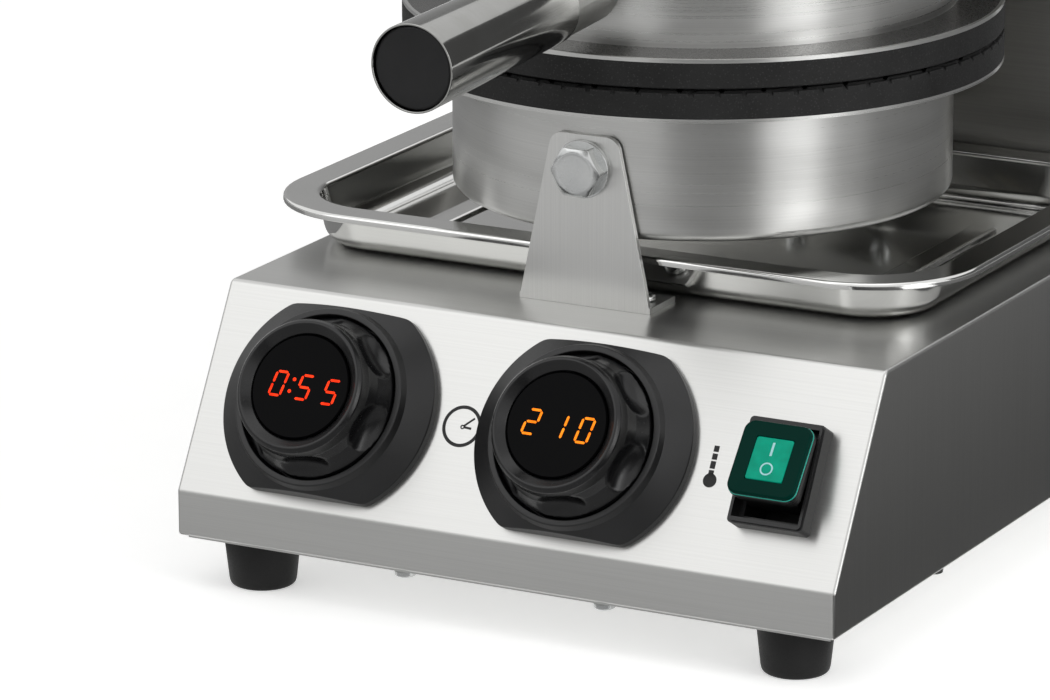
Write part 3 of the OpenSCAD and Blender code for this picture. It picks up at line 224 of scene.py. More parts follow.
# The bracket: cut from the same sheet with its grain upright, so its highlight lies level.
brushed_sheet("upright_ground_stainless", "#dadad8", "#d0d0ce", 0.32, ALONG_Z)
# The column: the same sheet painted darker, as painted shade for its place behind the drums; duller, with lines
# that run front to back on its sides.
brushed_sheet("dark_ground_stainless", "#a5a4a1", "#9b9a97", 0.34, ALONG_X, ALONG_Y)
print("brushed finishes:", sorted(FINISHES))

# %% [markdown]
# ## Turned stainless
# The drums and the stem are ground while they spin, so their grain runs round the
# axis. A highlight on such a surface is smeared along the axis: the upright
# bright bands that show a drum is round. The distance from the axis and the height
# along it give the noise, and the tangent is crossed with the way round the axis.

# %% Turned metal
PATCH_SWAY = 14 * MM


def turned_metal(name, tint, dark, rough, axis_point, axis, smear=0.75, scratch=0.6):
    """`scratch` is the width in mm that a turning mark is drawn with."""
    tree, place = new_finish(name)
    normal = add(tree, "ShaderNodeNewGeometry").outputs["Normal"]
    arm = add(tree, "ShaderNodeVectorMath", {0: place, 1: axis_point}, operation="SUBTRACT").outputs[0]
    rise = add(tree, "ShaderNodeVectorMath", {0: arm, 1: axis}, operation="DOT_PRODUCT").outputs["Value"]
    around = add(tree, "ShaderNodeVectorMath", {0: axis, 1: arm}, operation="CROSS_PRODUCT").outputs[0]
    reach = add(tree, "ShaderNodeVectorMath", {0: around}, operation="LENGTH").outputs["Value"]
    turn = add(tree, "ShaderNodeVectorMath", {0: around}, operation="NORMALIZE").outputs[0]
    slow = add(tree, "ShaderNodeVectorMath", {0: turn, "Scale": PATCH_SWAY}, operation="SCALE").outputs[0]
    height = add(tree, "ShaderNodeCombineXYZ", {0: reach, 1: rise}).outputs[0]
    where = add(tree, "ShaderNodeVectorMath", {0: height, 1: slow}, operation="ADD").outputs[0]
    marks = add(tree, "ShaderNodeTexNoise", {"Vector": height, "Scale": 1 / (scratch * MM), "Detail": 4.0,
                                             "Roughness": 0.7}).outputs["Fac"]
    patch = add(tree, "ShaderNodeTexNoise", {"Vector": where, "Scale": 90.0, "Detail": 2.0}).outputs["Fac"]
    mixed = add(tree, "ShaderNodeMath", {0: marks, 1: patch}, operation="ADD").outputs[0]
    smear_way = add(tree, "ShaderNodeVectorMath", {0: normal, 1: turn}, operation="CROSS_PRODUCT").outputs[0]
    grained(tree, marks, rough, 0.15, 0.10, 0.02, {
        "Base Color": two_toned(tree, mixed, dark, tint, 0.7, 1.3), "Metallic": 1.0,
        "Anisotropic": smear, "Tangent": smear_way})


HANDLE_TILT = math.radians(1.69)
HANDLE_FRONT = list(at(0, -56, 209.1))
HANDLE_WAY = (0.0, math.cos(HANDLE_TILT), math.sin(HANDLE_TILT))
drum_lo, drum_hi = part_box("upper_plate")
DRUM_AXIS = list((drum_lo + drum_hi) / 2)
# The drums: spun sheet with a satin finish, and upright bands of light.
turned_metal("spun_ground_stainless", "#d2d2d0", "#bdbdbb", 0.30, DRUM_AXIS, ALONG_Z)
# The handle's stem and the neck: turned bar, a little duller.
turned_metal("turned_satin_stainless", "#c9c9c6", "#b5b5b2", 0.33, HANDLE_FRONT, HANDLE_WAY)
# The grip: tube that was polished after turning, with crisp long reflections.
turned_metal("polished_tube_stainless", "#a4a4a2", "#9c9c99", 0.09, HANDLE_FRONT, HANDLE_WAY, 0.5, 1.2)
print("handle axis:", [round(c, 3) for c in HANDLE_WAY])

# %% [markdown]
# ## Mirror-polished sheet
# The tray is deep drawn from thin bright-annealed stainless sheet and buffed. It
# mirrors its surroundings; only a faint orange peel from the drawing bends the
# mirror image, so the bump is shallow and its cells are 9 mm wide. A haze of
# rubbing marks changes the roughness over 40 mm.

# %% Polished sheet
PEEL_MM, HAZE_MM = 9, 40
tree, place = new_finish("buffed_stainless")
peel = add(tree, "ShaderNodeTexNoise", {"Vector": place, "Scale": 1 / (PEEL_MM * MM), "Detail": 2.0}).outputs[0]
haze = add(tree, "ShaderNodeTexNoise", {"Vector": place, "Scale": 1 / (HAZE_MM * MM), "Detail": 3.0}).outputs[0]
grained(tree, haze, 0.10, 0.3, 0.12, 0.05, {
    "Base Color": two_toned(tree, haze, "#d6d6d4", "#e2e2e0", 0, 1), "Metallic": 1.0}, peel, 0, 1)
print("nodes in the polished sheet:", len(tree.nodes))

# %% [markdown]
# ## Cast iron, plastics, rubber and small metals
# The rest of the machine is matt or satin. Each of these surfaces has a grain that
# the light catches: the sand of a casting, the etched texture of a mould or the
# crystals of a zinc coat. One function covers them, with the grain's size in mm.
# Grains finer than 0.4 mm are drawn that wide, so that they show.

# %% Grainy finishes
def grainy(name, tint, dark, rough, grain_mm, depth=0.03, metallic=0.0, ior=1.5, speck=None):
    tree, place = new_finish(name)
    fine = add(tree, "ShaderNodeTexNoise", {"Vector": place, "Scale": 1 / (grain_mm * MM), "Detail": 3.0,
                                            "Roughness": 0.6}).outputs["Fac"]
    broad = add(tree, "ShaderNodeTexNoise", {"Vector": place, "Scale": 1 / (25 * grain_mm * MM),
                                             "Detail": 2.0}).outputs["Fac"]
    colour = two_toned(tree, broad, dark, tint)
    if speck:
        dots = add(tree, "ShaderNodeTexVoronoi", {"Vector": place, "Scale": 1 / (1.6 * grain_mm * MM)})
        on_dot = add(tree, "ShaderNodeMath", {0: dots.outputs["Distance"], 1: 0.22}, operation="LESS_THAN")
        colour = add(tree, "ShaderNodeMix", {0: on_dot.outputs[0], 6: colour, 7: srgb(speck)},
                     data_type="RGBA").outputs[2]
    own = {} if metallic else {"IOR": ior}
    grained(tree, fine, rough, 0.15, 0.5, depth, {"Base Color": colour, "Metallic": metallic, **own})


# Sand-cast iron with a baked release coat: matt black, with a few paler grains.
grainy("coated_cast_iron", "#222222", "#1a1a1a", 0.62, 0.7, 0.12, ior=1.33, speck="#2e2e2e")
# Polyamide from an etched mould: an even soft sheen on the bezels and the switch.
grainy("textured_black_polyamide", "#151516", "#101011", 0.40, 0.5, 0.05)
# The same plastic from a smooth mould: sharper lights along the dial rings.
grainy("smooth_black_polyamide", "#121213", "#0e0e0f", 0.24, 1.2, 0.004, ior=1.45)
# Smoked acrylic with an antiglare face: deep black, with almost no reflection.
grainy("display_acrylic", "#060607", "#040405", 0.12, 6.0, 0.002, ior=1.12)
# Moulded green acrylic over a black boot: a dark green that lets little light back.
grainy("dark_green_acrylic", "#002e26", "#00251f", 0.22, 5.0, 0.004, ior=1.12)
# The acrylic's edge, where light that is led through it comes out: bright teal.
grainy("teal_lit_edge", "#0aa390", "#067f70", 0.25, 5.0, 0.004)
# Pad-printed ink over the lit window: pale, and cooled by the green light round it.
grainy("pale_blue_print", "#bfeef0", "#a9dfe4", 0.5, 0.4, 0.01)
# Moulded phenolic, filled with wood flour: a hard, dull charcoal.
grainy("grey_phenolic", "#202021", "#1a1a1b", 0.45, 0.6, 0.04, ior=1.33)
# Moulded rubber: black and dry, with a broad weak highlight.
grainy("black_rubber", "#151515", "#101010", 0.55, 0.6, 0.05, ior=1.35)
# Bright zinc plate: a pale metal, faintly cloudy from its crystals.
grainy("bright_zinc", "#d4d5d4", "#bdbfbf", 0.24, 0.9, 0.02, metallic=1.0)
# Milled carbon steel: a cooler and duller grey than the stainless round it.
grainy("milled_steel", "#a9aaac", "#939496", 0.34, 0.8, 0.02, metallic=1.0)
# Pressed stainless painted dark, a painted reflection of the shade that the lid's flange mirrors: dark, but
# still a metal.
grainy("blackened_flange_steel", "#5c5b59", "#504f4d", 0.28, 0.8, 0.01, metallic=1.0)
# A heater's tube with an oxide scale: brown grey and rough.
grainy("scaled_heater_sheath", "#5a5552", "#48433f", 0.5, 1.0, 0.03, metallic=1.0)
# Turned brass: warm yellow, with a soft shine.
grainy("turned_brass", "#c9a35a", "#b8924c", 0.28, 1.0, 0.02, metallic=1.0)
# Pressed mineral wool: quite matt, and fluffy to the eye.
grainy("mineral_wool_felt", "#cfc4a2", "#b3a888", 0.95, 1.2, 0.4)
# Glass laminate under solder mask: green, with a faint weave.
grainy("green_circuit_laminate", "#1c5c34", "#174c2b", 0.4, 1.5, 0.02)
# Unfilled polyamide: warm white and waxy.
grainy("ivory_polyamide", "#dcdacf", "#cfcdc2", 0.5, 1.0, 0.03)
# Screen-printed ink on the panel: flat black that kills the steel's shine.
grainy("black_screen_print", "#141414", "#0f0f0f", 0.55, 0.4, 0.01)
print("finishes:", len(FINISHES))

# %% [markdown]
# ## Light that comes from inside
# The digits glow: red light-emitting diodes for the time and orange ones for the
# temperature, behind a dark window. The switch's window is green acrylic with a
# neon lamp behind it. A real glow is never quite even, so a soft cloud of noise
# moves both the colour and the light.

# %% Glowing finishes
def glowing(name, tint, dark, strength, rough, ior, cloud_mm, detail=1.0, start=0.35, end=0.65):
    tree, place = new_finish(name)
    cloud = add(tree, "ShaderNodeTexNoise", {"Vector": place, "Scale": 1 / (cloud_mm * MM),
                                             "Detail": detail}).outputs["Fac"]
    colour = two_toned(tree, cloud, dark, tint, start, end)
    surface(tree, {"Base Color": colour, "Roughness": rough, "IOR": ior, "Emission Color": colour,
                   "Emission Strength": strength})


# Diodes under a cast resin face: a strong colour, a little cloudy along each bar.
glowing("red_diode_light", "#ff3a16", "#e52a0c", 0.9, 0.4, 1.15, 2.5)
glowing("orange_diode_light", "#ff8a1e", "#f07410", 0.9, 0.4, 1.15, 2.5)
# Moulded green acrylic with a lamp behind it: smooth, and a little lighter than its frame.
glowing("lit_green_key", "#00987c", "#00745c", 0.4, 0.25, 1.2, 5, 2.0, 0, 1)
print("finishes with the lit ones:", len(FINISHES))

# %% [markdown]
# ## Which finish goes where
# Solids whose form is already right keep their mesh and only get a finish. Solids
# that a piece stands in for get one too, and their softened copies take it over.

# %% Dress the solids
DRESS = {
    "belt_ground_stainless": ["base_housing", "floor_plate"],
    "upright_ground_stainless": ["front_bracket"],
    "dark_ground_stainless": ["rear_column", "column_cover"],
    "spun_ground_stainless": ["lower_drum", "upper_drum"],
    "turned_satin_stainless": ["handle_stem", "drum_neck"],
    "polished_tube_stainless": ["handle_grip"],
    "buffed_stainless": ["drip_tray"],
    "coated_cast_iron": ["lower_plate", "upper_plate"],
    "textured_black_polyamide": ["timer_bezel", "temperature_bezel", "switch_frame", "switch_skirt",
                                 "cable_gland", "timer_module", "temperature_module"],
    "smooth_black_polyamide": ["timer_dial_ring", "temperature_dial_ring", "timer_hub", "temperature_hub"],
    "display_acrylic": ["timer_display", "temperature_display"],
    "grey_phenolic": ["handle_end_cap"],
    "black_rubber": ["rubber_feet"],
    "bright_zinc": ["foot_screws", "floor_screws", "bracket_bolt", "bracket_washer", "bracket_nut",
                    "bracket_screws", "column_screws", "cover_screws", "neck_screws", "lower_plate_screws",
                    "upper_plate_screws", "block_screws", "yoke_screws", "hub_nuts", "switch_pin"],
    "milled_steel": ["hinge_blocks", "lid_yoke", "hinge_shaft", "lower_clamp_disc", "upper_clamp_disc",
                     "power_relay", "lower_sensor"],
    "scaled_heater_sheath": ["lower_heater", "upper_heater"],
    "turned_brass": ["board_posts", "bonding_stud"],
    "mineral_wool_felt": ["lower_insulation", "upper_insulation"],
    "green_circuit_laminate": ["control_board"],
    "ivory_polyamide": ["terminal_block"],
    "dark_green_acrylic": ["switch_cap"],
    "lit_green_key": ["switch_key"],
}


def clothe(thing, finish_name):
    thing.data.materials.clear()
    thing.data.materials.append(FINISHES[finish_name])


for finish_name, names in DRESS.items():
    for name in names:
        clothe(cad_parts[name], finish_name)
undressed = set(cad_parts) - {name for names in DRESS.values() for name in names}
print("solids without a finish:", sorted(undressed))

# %% [markdown]
# ## From outline to skin
# Most pieces here are made from a drawn line. `rounded` takes corner points with a
# radius each and gives a line with arcs. `skin` lays quads between rings of points.
# A turned piece is a skin whose rings run round an axis, and a plate is one with
# two rings. Every face is turned outwards before the mesh is used.

# %% Lines with rounded corners
def rounded(points, steps=5, closed=False):
    """(x, y, radius) corners as a line in which each corner is an arc."""
    line, count = [], len(points)
    for i, (x, y, radius) in enumerate(points):
        here = Vector((x, y))
        if not radius or (not closed and i in (0, count - 1)):
            line.append(here)
            continue
        before = (Vector(points[i - 1][:2]) - here).normalized()
        after = (Vector(points[(i + 1) % count][:2]) - here).normalized()
        half = before.angle(after) / 2
        middle = here + (before + after).normalized() * (radius / math.sin(half))
        first = here + before * (radius / math.tan(half)) - middle
        last = here + after * (radius / math.tan(half)) - middle
        start = math.atan2(first.y, first.x)
        sweep = (math.atan2(last.y, last.x) - start + math.pi) % math.tau - math.pi
        for k in range(steps + 1):
            angle = start + sweep * k / steps
            line.append(middle + radius * Vector((math.cos(angle), math.sin(angle))))
    return line


print("a line with one rounded corner:", len(rounded([(0, 0, 0), (9, 0, 2), (9, 9, 0)])), "points")


# %% Skins over rings
def skin(name, rings, loop=True):
    """Quads between rings of equal count; a stack that isn't a loop is capped."""
    count, stack = len(rings[0]), len(rings)
    shape = bmesh.new()
    rows = [[shape.verts.new(point) for point in ring] for ring in rings]
    for i in range(stack if loop else stack - 1):
        row, above = rows[i], rows[(i + 1) % stack]
        for k in range(count):
            n = (k + 1) % count
            shape.faces.new((row[k], row[n], above[n], above[k]))
    if not loop:
        shape.faces.new(rows[0])
        shape.faces.new(rows[-1])
    bmesh.ops.recalc_face_normals(shape, faces=shape.faces)
    mesh = bpy.data.meshes.new(name)
    shape.to_mesh(mesh)
    shape.free()
    return mesh


def circle(radius, height, place, steps=160):
    angles = [math.tau * k / steps for k in range(steps)]
    return [place @ Vector((radius * math.cos(a), radius * math.sin(a), height)) for a in angles]


def turned(name, profile, place, steps=160):
    """A closed (radius, height) line spun round the Z axis of `place`."""
    return skin(name, [circle(r, h, place, steps) for r, h in profile])


def boxed(name, place, width, depth, corner, line, loop=False, arc=8):
    """A stack of rounded rectangles. `line` holds how far each is set in, and its height."""
    rings = []
    for inset, z in line:
        radius = max(corner - inset, 0.2)
        half_w, half_d = width / 2 - inset - radius, depth / 2 - inset - radius
        ring = []
        for quarter, (sx, sy) in enumerate(((1, 1), (-1, 1), (-1, -1), (1, -1))):
            for k in range(arc + 1):
                angle = math.pi / 2 * (quarter + k / arc)
                ring.append(place @ Vector((sx * half_w + radius * math.cos(angle),
                                            sy * half_d + radius * math.sin(angle), z)))
        rings.append(ring)
    return skin(name, rings, loop)


def flat(name, outline, place, high=0.04):
    """A thin printed or cast shape that stands `high` mm on the XY plane of `place`."""
    return skin(name, [[place @ Vector((x, y, z)) for x, y in outline] for z in (0.0, high)], loop=False)


def joined(name, meshes):
    shape = bmesh.new()
    for mesh in meshes:
        shape.from_mesh(mesh)
        bpy.data.meshes.remove(mesh)
    mesh = bpy.data.meshes.new(name)
    shape.to_mesh(mesh)
    shape.free()
    return mesh


print("a circle is drawn with", len(circle(1, 0, Matrix.Identity(4))), "points")

# %% [markdown]
# ## Finishing a piece
# A finished piece rides on a body and may stand for a solid. Its normals are
# weighted by face area, so that a narrow rounded edge doesn't bend the shading of
# the wide flat face beside it.

# %% Pieces
def settle(thing):
    """Swaps the object's live modifiers for the plain mesh that they make."""
    ready = bpy.context.evaluated_depsgraph_get()
    mesh = bpy.data.meshes.new_from_object(thing.evaluated_get(ready))
    thing.modifiers.clear()
    thing.data = mesh


def piece(name, mesh, finish_name, body, replaced=(), sharp=38):
    """Edges of more than `sharp` degrees stay crisp."""
    thing = new_object(name, mesh)
    mesh.shade_smooth()
    mesh.set_sharp_from_angle(angle=math.radians(sharp))
    thing.modifiers.new("weighted normals", "WEIGHTED_NORMAL").keep_sharp = True
    settle(thing)
    clothe(thing, finish_name)
    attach(thing, body)
    if replaced:
        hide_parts(*replaced)
    return thing


print("shading is kept crisp at edges over 38 degrees")

# %% [markdown]
# ## Softer copies of hard solids
# Folded sheet, milled blocks and mouldings never have razor edges: a small radius
# catches a thin line of light. A copy of the solid is merged into clean faces,
# its sharp edges get a narrow bevel, and the copy stands in for the solid. The
# housing and the column have rows of slots and holes that were punched and stay
# sharp, so only their outer edges, with nothing of the solid in front, are rounded.

# %% Sheet, blocks and plates with rounded edges
WELD, FLAT_ENOUGH = 0.004 * MM, math.radians(0.6)
SHARP_EDGE, NEAR_OUTSIDE = math.radians(25), 0.05 * MM


def merged(node):
    """A solid's mesh as clean joined faces instead of loose triangles."""
    shape = bmesh.new()
    shape.from_mesh(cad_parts[node].data)
    bmesh.ops.remove_doubles(shape, verts=shape.verts, dist=WELD)
    bmesh.ops.dissolve_limit(shape, angle_limit=FLAT_ENOUGH, verts=shape.verts, edges=shape.edges)
    return shape


def is_outer(edge, points):
    """True for a sharp edge with nothing of the solid in front of it."""
    if len(edge.link_faces) != 2 or edge.calc_face_angle(0) < SHARP_EDGE:
        return False
    out = (edge.link_faces[0].normal + edge.link_faces[1].normal).normalized()
    return (points @ np.array(out)).max() < edge.verts[0].co.dot(out) + NEAR_OUTSIDE


def soften(node, width, slot_name, body="base", outer_only=False):
    shape = merged(node)
    if outer_only:
        points = np.array([v.co[:] for v in shape.verts])
        weights = shape.edges.layers.float.new("bevel_weight_edge")
        for edge in shape.edges:
            edge[weights] = 1.0 if is_outer(edge, points) else 0.0
    mesh = bpy.data.meshes.new(node + "_edged")
    shape.to_mesh(mesh)
    shape.free()
    thing = new_object(node + "_work", mesh)
    bevel = thing.modifiers.new("edge radius", "BEVEL")
    bevel.width, bevel.segments = width * MM, 3
    bevel.limit_method, bevel.angle_limit = "WEIGHT" if outer_only else "ANGLE", math.radians(30)
    bevel.use_clamp_overlap = not outer_only
    settle(thing)
    mesh = thing.data
    bpy.data.objects.remove(thing)
    return piece(node + "_edged", mesh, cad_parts[node].data.materials[0].name, body, [node])


EDGED = [("front_bracket", 0.35, "body_steel"), ("column_cover", 0.3, "column_steel"),
         ("hinge_blocks", 0.8, "hinge_steel"), ("lid_yoke", 0.6, "hinge_steel", "lid"),
         ("switch_frame", 0.7, "satin_black"), ("handle_grip", 0.9, "handle_steel", "lid"),
         ("handle_end_cap", 0.7, "cap_grey", "lid"), ("cable_gland", 0.5, "satin_black"),
         ("bracket_washer", 0.25, "zinc_screws"), ("hinge_shaft", 0.8, "hinge_steel", "lid"),
         ("base_housing", 1.2, "body_steel", "base", True),
         ("rear_column", 1.2, "column_steel", "base", True)]
for row in EDGED:
    thing = soften(*row)
    print(thing.name, len(thing.data.polygons))

# %% [markdown]
# ## One tree that repeats a part
# Screws, feet, display segments and rim teeth are each one small part, repeated.
# A Geometry Nodes tree sets the part on points. Two vectors stored on each point
# aim it: `way` is where its Z axis goes and `side` is where its X axis goes.

# %% The repeating tree
def repeating_tree():
    tree = bpy.data.node_groups.new("repeat_at_points", "GeometryNodeTree")
    tree.is_modifier = True
    sockets = {"Geometry": "Geometry", "Part": "Object", "Scale": "Float", "Finish": "Material"}
    for name, kind in sockets.items():
        tree.interface.new_socket(name, in_out="INPUT", socket_type="NodeSocket" + kind)
    tree.interface.new_socket("Geometry", in_out="OUTPUT", socket_type="NodeSocketGeometry")
    given = add(tree, "NodeGroupInput").outputs
    aims = [add(tree, "GeometryNodeInputNamedAttribute", {"Name": name}, data_type="FLOAT_VECTOR").outputs[0]
            for name in ("way", "side")]
    stood = add(tree, "FunctionNodeAlignRotationToVector", {"Vector": aims[0]}, axis="Z").outputs[0]
    faced = add(tree, "FunctionNodeAlignRotationToVector", {"Rotation": stood, "Vector": aims[1]},
                axis="X", pivot_axis="Z").outputs[0]
    part = add(tree, "GeometryNodeObjectInfo", {"Object": given["Part"]}).outputs["Geometry"]
    placed = add(tree, "GeometryNodeInstanceOnPoints", {
        "Points": given["Geometry"], "Instance": part, "Rotation": faced, "Scale": given["Scale"]})
    real = add(tree, "GeometryNodeRealizeInstances", {"Geometry": placed.outputs[0]}).outputs[0]
    dressed = add(tree, "GeometryNodeSetMaterial", {"Geometry": real, "Material": given["Finish"]}).outputs[0]
    add(tree, "NodeGroupOutput", {"Geometry": dressed})
    return tree


REPEAT = repeating_tree()
print("tree inputs:", [socket.name for socket in REPEAT.interface.items_tree])


# %% Repeat a part at points
def repeat(name, part, places, finish_name, body, replaced=()):
    """`places` are (point, way, side); `part` is a mesh in millimetres about its own origin."""
    pattern = new_object(name + "_part", part)
    seeds = bpy.data.meshes.new(name)
    seeds.from_pydata([place[0] for place in places], [], [])
    for k, attribute in enumerate(("way", "side"), 1):
        store = seeds.attributes.new(attribute, "FLOAT_VECTOR", "POINT")
        store.data.foreach_set("vector", [c for place in places for c in place[k]])
    work = new_object(name + "_work", seeds)
    change = work.modifiers.new("repeat", "NODES")
    change.node_group = REPEAT
    wanted = {"Part": pattern, "Scale": MM, "Finish": FINISHES[finish_name]}
    for socket in REPEAT.interface.items_tree:
        if socket.in_out == "INPUT" and socket.name in wanted:
            change[socket.identifier] = wanted[socket.name]
    settle(work)
    mesh = work.data
    for done in (work, pattern):
        bpy.data.objects.remove(done)
    return piece(name, mesh, finish_name, body, replaced)


def islands(node):
    """The low and high corner of each separate body in a node."""
    shape, found = merged(node), []
    left = set(shape.verts)
    while left:
        reached, todo = set(), [left.pop()]
        while todo:
            vertex = todo.pop()
            reached.add(vertex)
            for edge in vertex.link_edges:
                other = edge.other_vert(vertex)
                if other in left:
                    left.discard(other)
                    todo.append(other)
        extent = [[v.co[axis] for v in reached] for axis in range(3)]
        found.append((Vector(map(min, extent)), Vector(map(max, extent))))
    shape.free()
    return sorted(found, key=lambda box: [round(c, 5) for c in box[0]])


foot_boxes = islands("rubber_feet")
print("separate feet in their node:", len(foot_boxes))

# %% [markdown]
# ## Pan head screws
# Each screw is a low dome with a cross recess. The dome is a stack of rings in
# which the points inside the cross are pushed down. Where the screws sit is read
# from the solids that they replace.

# %% Screws
PAN_R, PAN_H, SHANK = 3.8, 2.4, 8.0


def in_cross(x, y):
    """1 inside the cross recess, 0 outside it, with a narrow slope between."""
    across, along = sorted((abs(x), abs(y)))
    end = max(0.0, min(1.0, (0.52 * PAN_R - along) / 0.5))
    return end * max(0.0, min(1.0, (0.13 * PAN_R - across) / 0.12 + 0.5))


def cross_screw(rings_up=14, steps=72):
    upright = Matrix.Identity(4)
    rows = [circle(r, h, upright, steps) for h, r in (
        (-SHANK, 0.5 * PAN_R), (0.0, 0.5 * PAN_R), (0.0, PAN_R), (0.45 * PAN_H, PAN_R))]
    for k in range(1, rings_up):
        r = PAN_R * math.cos(math.pi / 2 * k / rings_up)
        dome = PAN_H * (0.45 + 0.55 * math.sin(math.pi / 2 * k / rings_up))
        rows.append([Vector((p.x, p.y, dome - 0.75 * PAN_H * in_cross(p.x, p.y)))
                     for p in circle(r, 0, upright, steps)])
    return skin("cross_screw", rows, loop=False)


def screw_places(node, way):
    """Each screw's head ends at the same height as its solid's."""
    way, places = Vector(way), []
    side = Vector((0, 0, 1)) if abs(way.z) < 0.5 else Vector((1, 0, 0))
    for low, high in islands(node):
        middle = (low + high) / 2
        reach = (high - middle).dot(Vector(map(abs, way)))
        places.append((middle + way * (reach - PAN_H * MM), way, side))
    return places


SCREWS = [("cover_screws", (0, 1, 0), "base"), ("floor_screws", (0, 0, -1), "base"),
          ("bracket_screws", (0, 0, 1), "base"), ("block_screws", (0, -1, 0), "base"),
          ("neck_screws", (0, -1, 0), "base"), ("yoke_screws", (0, 0, 1), "lid")]
for node, way, body in SCREWS:
    thing = repeat(node + "_cross", cross_screw(), screw_places(node, way), "bright_zinc", body,
                   [node])
    print(thing.name, len(thing.data.polygons))

# %% [markdown]
# ## The bracket's hexagon bolt
# A bolt head is a hexagon whose corners were turned off by a cone, which leaves a
# round face and six curved edges. The head's height follows from where the cone
# meets the hexagon at each angle.

# %% Hexagon bolt
bolt_lo, bolt_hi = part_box("bracket_bolt")
washer_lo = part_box("bracket_washer")[0]
BOLT = Matrix.Translation(((bolt_lo.x + bolt_hi.x) / 2, washer_lo.y, (bolt_lo.z + bolt_hi.z) / 2))
BOLT = BOLT @ Matrix.Rotation(math.pi / 2, 4, "X") @ Matrix.Scale(MM, 4)
HEX = min(bolt_hi.x - bolt_lo.x, bolt_hi.z - bolt_lo.z) / MM
HEAD, FACE_R, SIXTH = 5.6, 7.2, math.radians(60)


def hex_ring(shrink, on_cone=True, lift=0.0, steps=180):
    """A hexagon of points at the head's foot, or where its sides meet the cone."""
    ring = []
    for k in range(steps):
        angle = math.tau * k / steps
        folded = (angle + math.pi / 2 + SIXTH / 2) % SIXTH - SIXTH / 2
        r = min((HEX / 2 - shrink) / math.cos(folded), HEX / 2 * 1.13)
        height = HEAD - max(r - FACE_R, 0) * 0.5 + lift if on_cone else 0.0
        ring.append(BOLT @ Vector((r * math.cos(angle), r * math.sin(angle), height)))
    return ring


shank = [circle(4, -20, BOLT, 180), circle(4, 0, BOLT, 180)]
face = [circle(FACE_R, HEAD, BOLT, 180), circle(FACE_R - 0.8, HEAD + 0.02, BOLT, 180),
        circle(FACE_R - 1.2, HEAD - 0.15, BOLT, 180)]
rows = shank + [hex_ring(0, False), hex_ring(0), hex_ring(0.25, lift=0.1)] + face
piece("bracket_bolt_head", skin("bracket_bolt_head", rows, loop=False), "bright_zinc", "base",
      ["bracket_bolt"], sharp=32)
print("bolt across flats", round(HEX, 2), "washer face at", round(washer_lo.y, 4))

# %% [markdown]
# ## Feet
# The feet are moulded rubber cones on screws. The line from table to floor plate
# is drawn once, spun, and repeated at the four places of the solids.

# %% Rubber feet
foot_low, foot_high = foot_boxes[0]
foot_r, foot_h = (foot_high.x - foot_low.x) / 2 / MM, (foot_high.z - foot_low.z) / MM
tread_r = foot_r * 22.4 / 26.8
foot_line = rounded([(3.2, 0.6, 0), (3.2, 0, 0), (tread_r, 0, 1.8), (tread_r + 0.55, 2.6, 0.5),
                     (foot_r, foot_h, 0.4), (3.2, foot_h, 0)])
foot_places = [(Vector(((low.x + high.x) / 2, (low.y + high.y) / 2, low.z)), (0, 0, 1), (1, 0, 0))
               for low, high in foot_boxes]
repeat("rubber_feet_moulded", turned("foot", foot_line, Matrix.Identity(4), 96), foot_places, "black_rubber",
       "base", ["rubber_feet"])
print("feet", len(foot_places), "radius", round(foot_r, 2), "height", round(foot_h, 2))

# %% [markdown]
# ## The drip tray
# The tray is one deep-drawn sheet. Its section is a single closed line: the rolled
# edge, the flat rim, the bowl's wall and floor, and back underneath. Each point of
# the line becomes a rounded rectangle that is set in from the rim's outline.

# %% Drip tray
tray_low, tray_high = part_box("drip_tray")
TRAY_W, TRAY_D, TRAY_H = ((high - low) / MM for low, high in zip(tray_low, tray_high))
TRAY_PLACE = Matrix.Translation(((tray_low.x + tray_high.x) / 2, (tray_low.y + tray_high.y) / 2, tray_low.z))
TRAY_PLACE = TRAY_PLACE @ Matrix.Scale(MM, 4)
TRAY_CORNER, TRAY_RIM, SHEET = 40.0, 13.0, 0.9
roll = TRAY_H - 2.6
upper_line = rounded([(1.0, roll, 0), (0.05, roll, 0.3), (0.0, TRAY_H, 1.3), (TRAY_RIM, TRAY_H, 1.8),
                      (TRAY_RIM + 3.6, 1.0, 6.6), (TRAY_D / 2 - 2, 1.0, 0)], 8)
under_line = rounded([(TRAY_D / 2 - 2, 0.1, 0), (TRAY_RIM + 2.6, 0.1, 7.4),
                      (TRAY_RIM - SHEET, TRAY_H - SHEET, 1.0), (1.0, TRAY_H - SHEET, 0.4), (1.0, roll, 0)], 8)
line = upper_line[::-1] + under_line[::-1]
tray_mesh = boxed("drip_tray_drawn", TRAY_PLACE, TRAY_W, TRAY_D, TRAY_CORNER, line, arc=14)
piece("drip_tray_drawn", tray_mesh, "buffed_stainless", "tray", ["drip_tray"])
rib = rounded([(0, -0.2, 0), (0, 0.9, 0.5), (1.1, 1.4, 0.6), (4.2, 1.4, 0)], 4)
ribs = [boxed("rib", TRAY_PLACE @ Matrix.Translation((x, 0, 1)), 10, 98, 4, rib) for x in (-88, 88)]
piece("drip_tray_ribs", joined("drip_tray_ribs", ribs), "buffed_stainless", "tray")
print("tray", round(TRAY_W, 1), round(TRAY_D, 1), round(TRAY_H, 1))

# %% [markdown]
# ## Control bezels
# A bezel is round with a flat at the top and the bottom. Its section changes round
# the axis: the cone always starts at the collar and falls at one slope, so it ends
# lower where the bezel is wide. The outline is a circle and two straight lines,
# joined by a soft minimum, so that their corners are rounded like a moulding's.

# %% Bezels
DIAL_X = {"timer": -73.9, "temperature": 24.0}
DIAL_V = 37.3
WIDE_R, FLAT_R, COLLAR_R, COLLAR_H, SLOPE = 40.0, 33, 32.85, 8.2, 0.7154


def bezel_reach(angle):
    flat_side = FLAT_R / max(abs(math.sin(angle)), 0.01)
    return (WIDE_R ** -80 + flat_side ** -80) ** (-1 / 80)


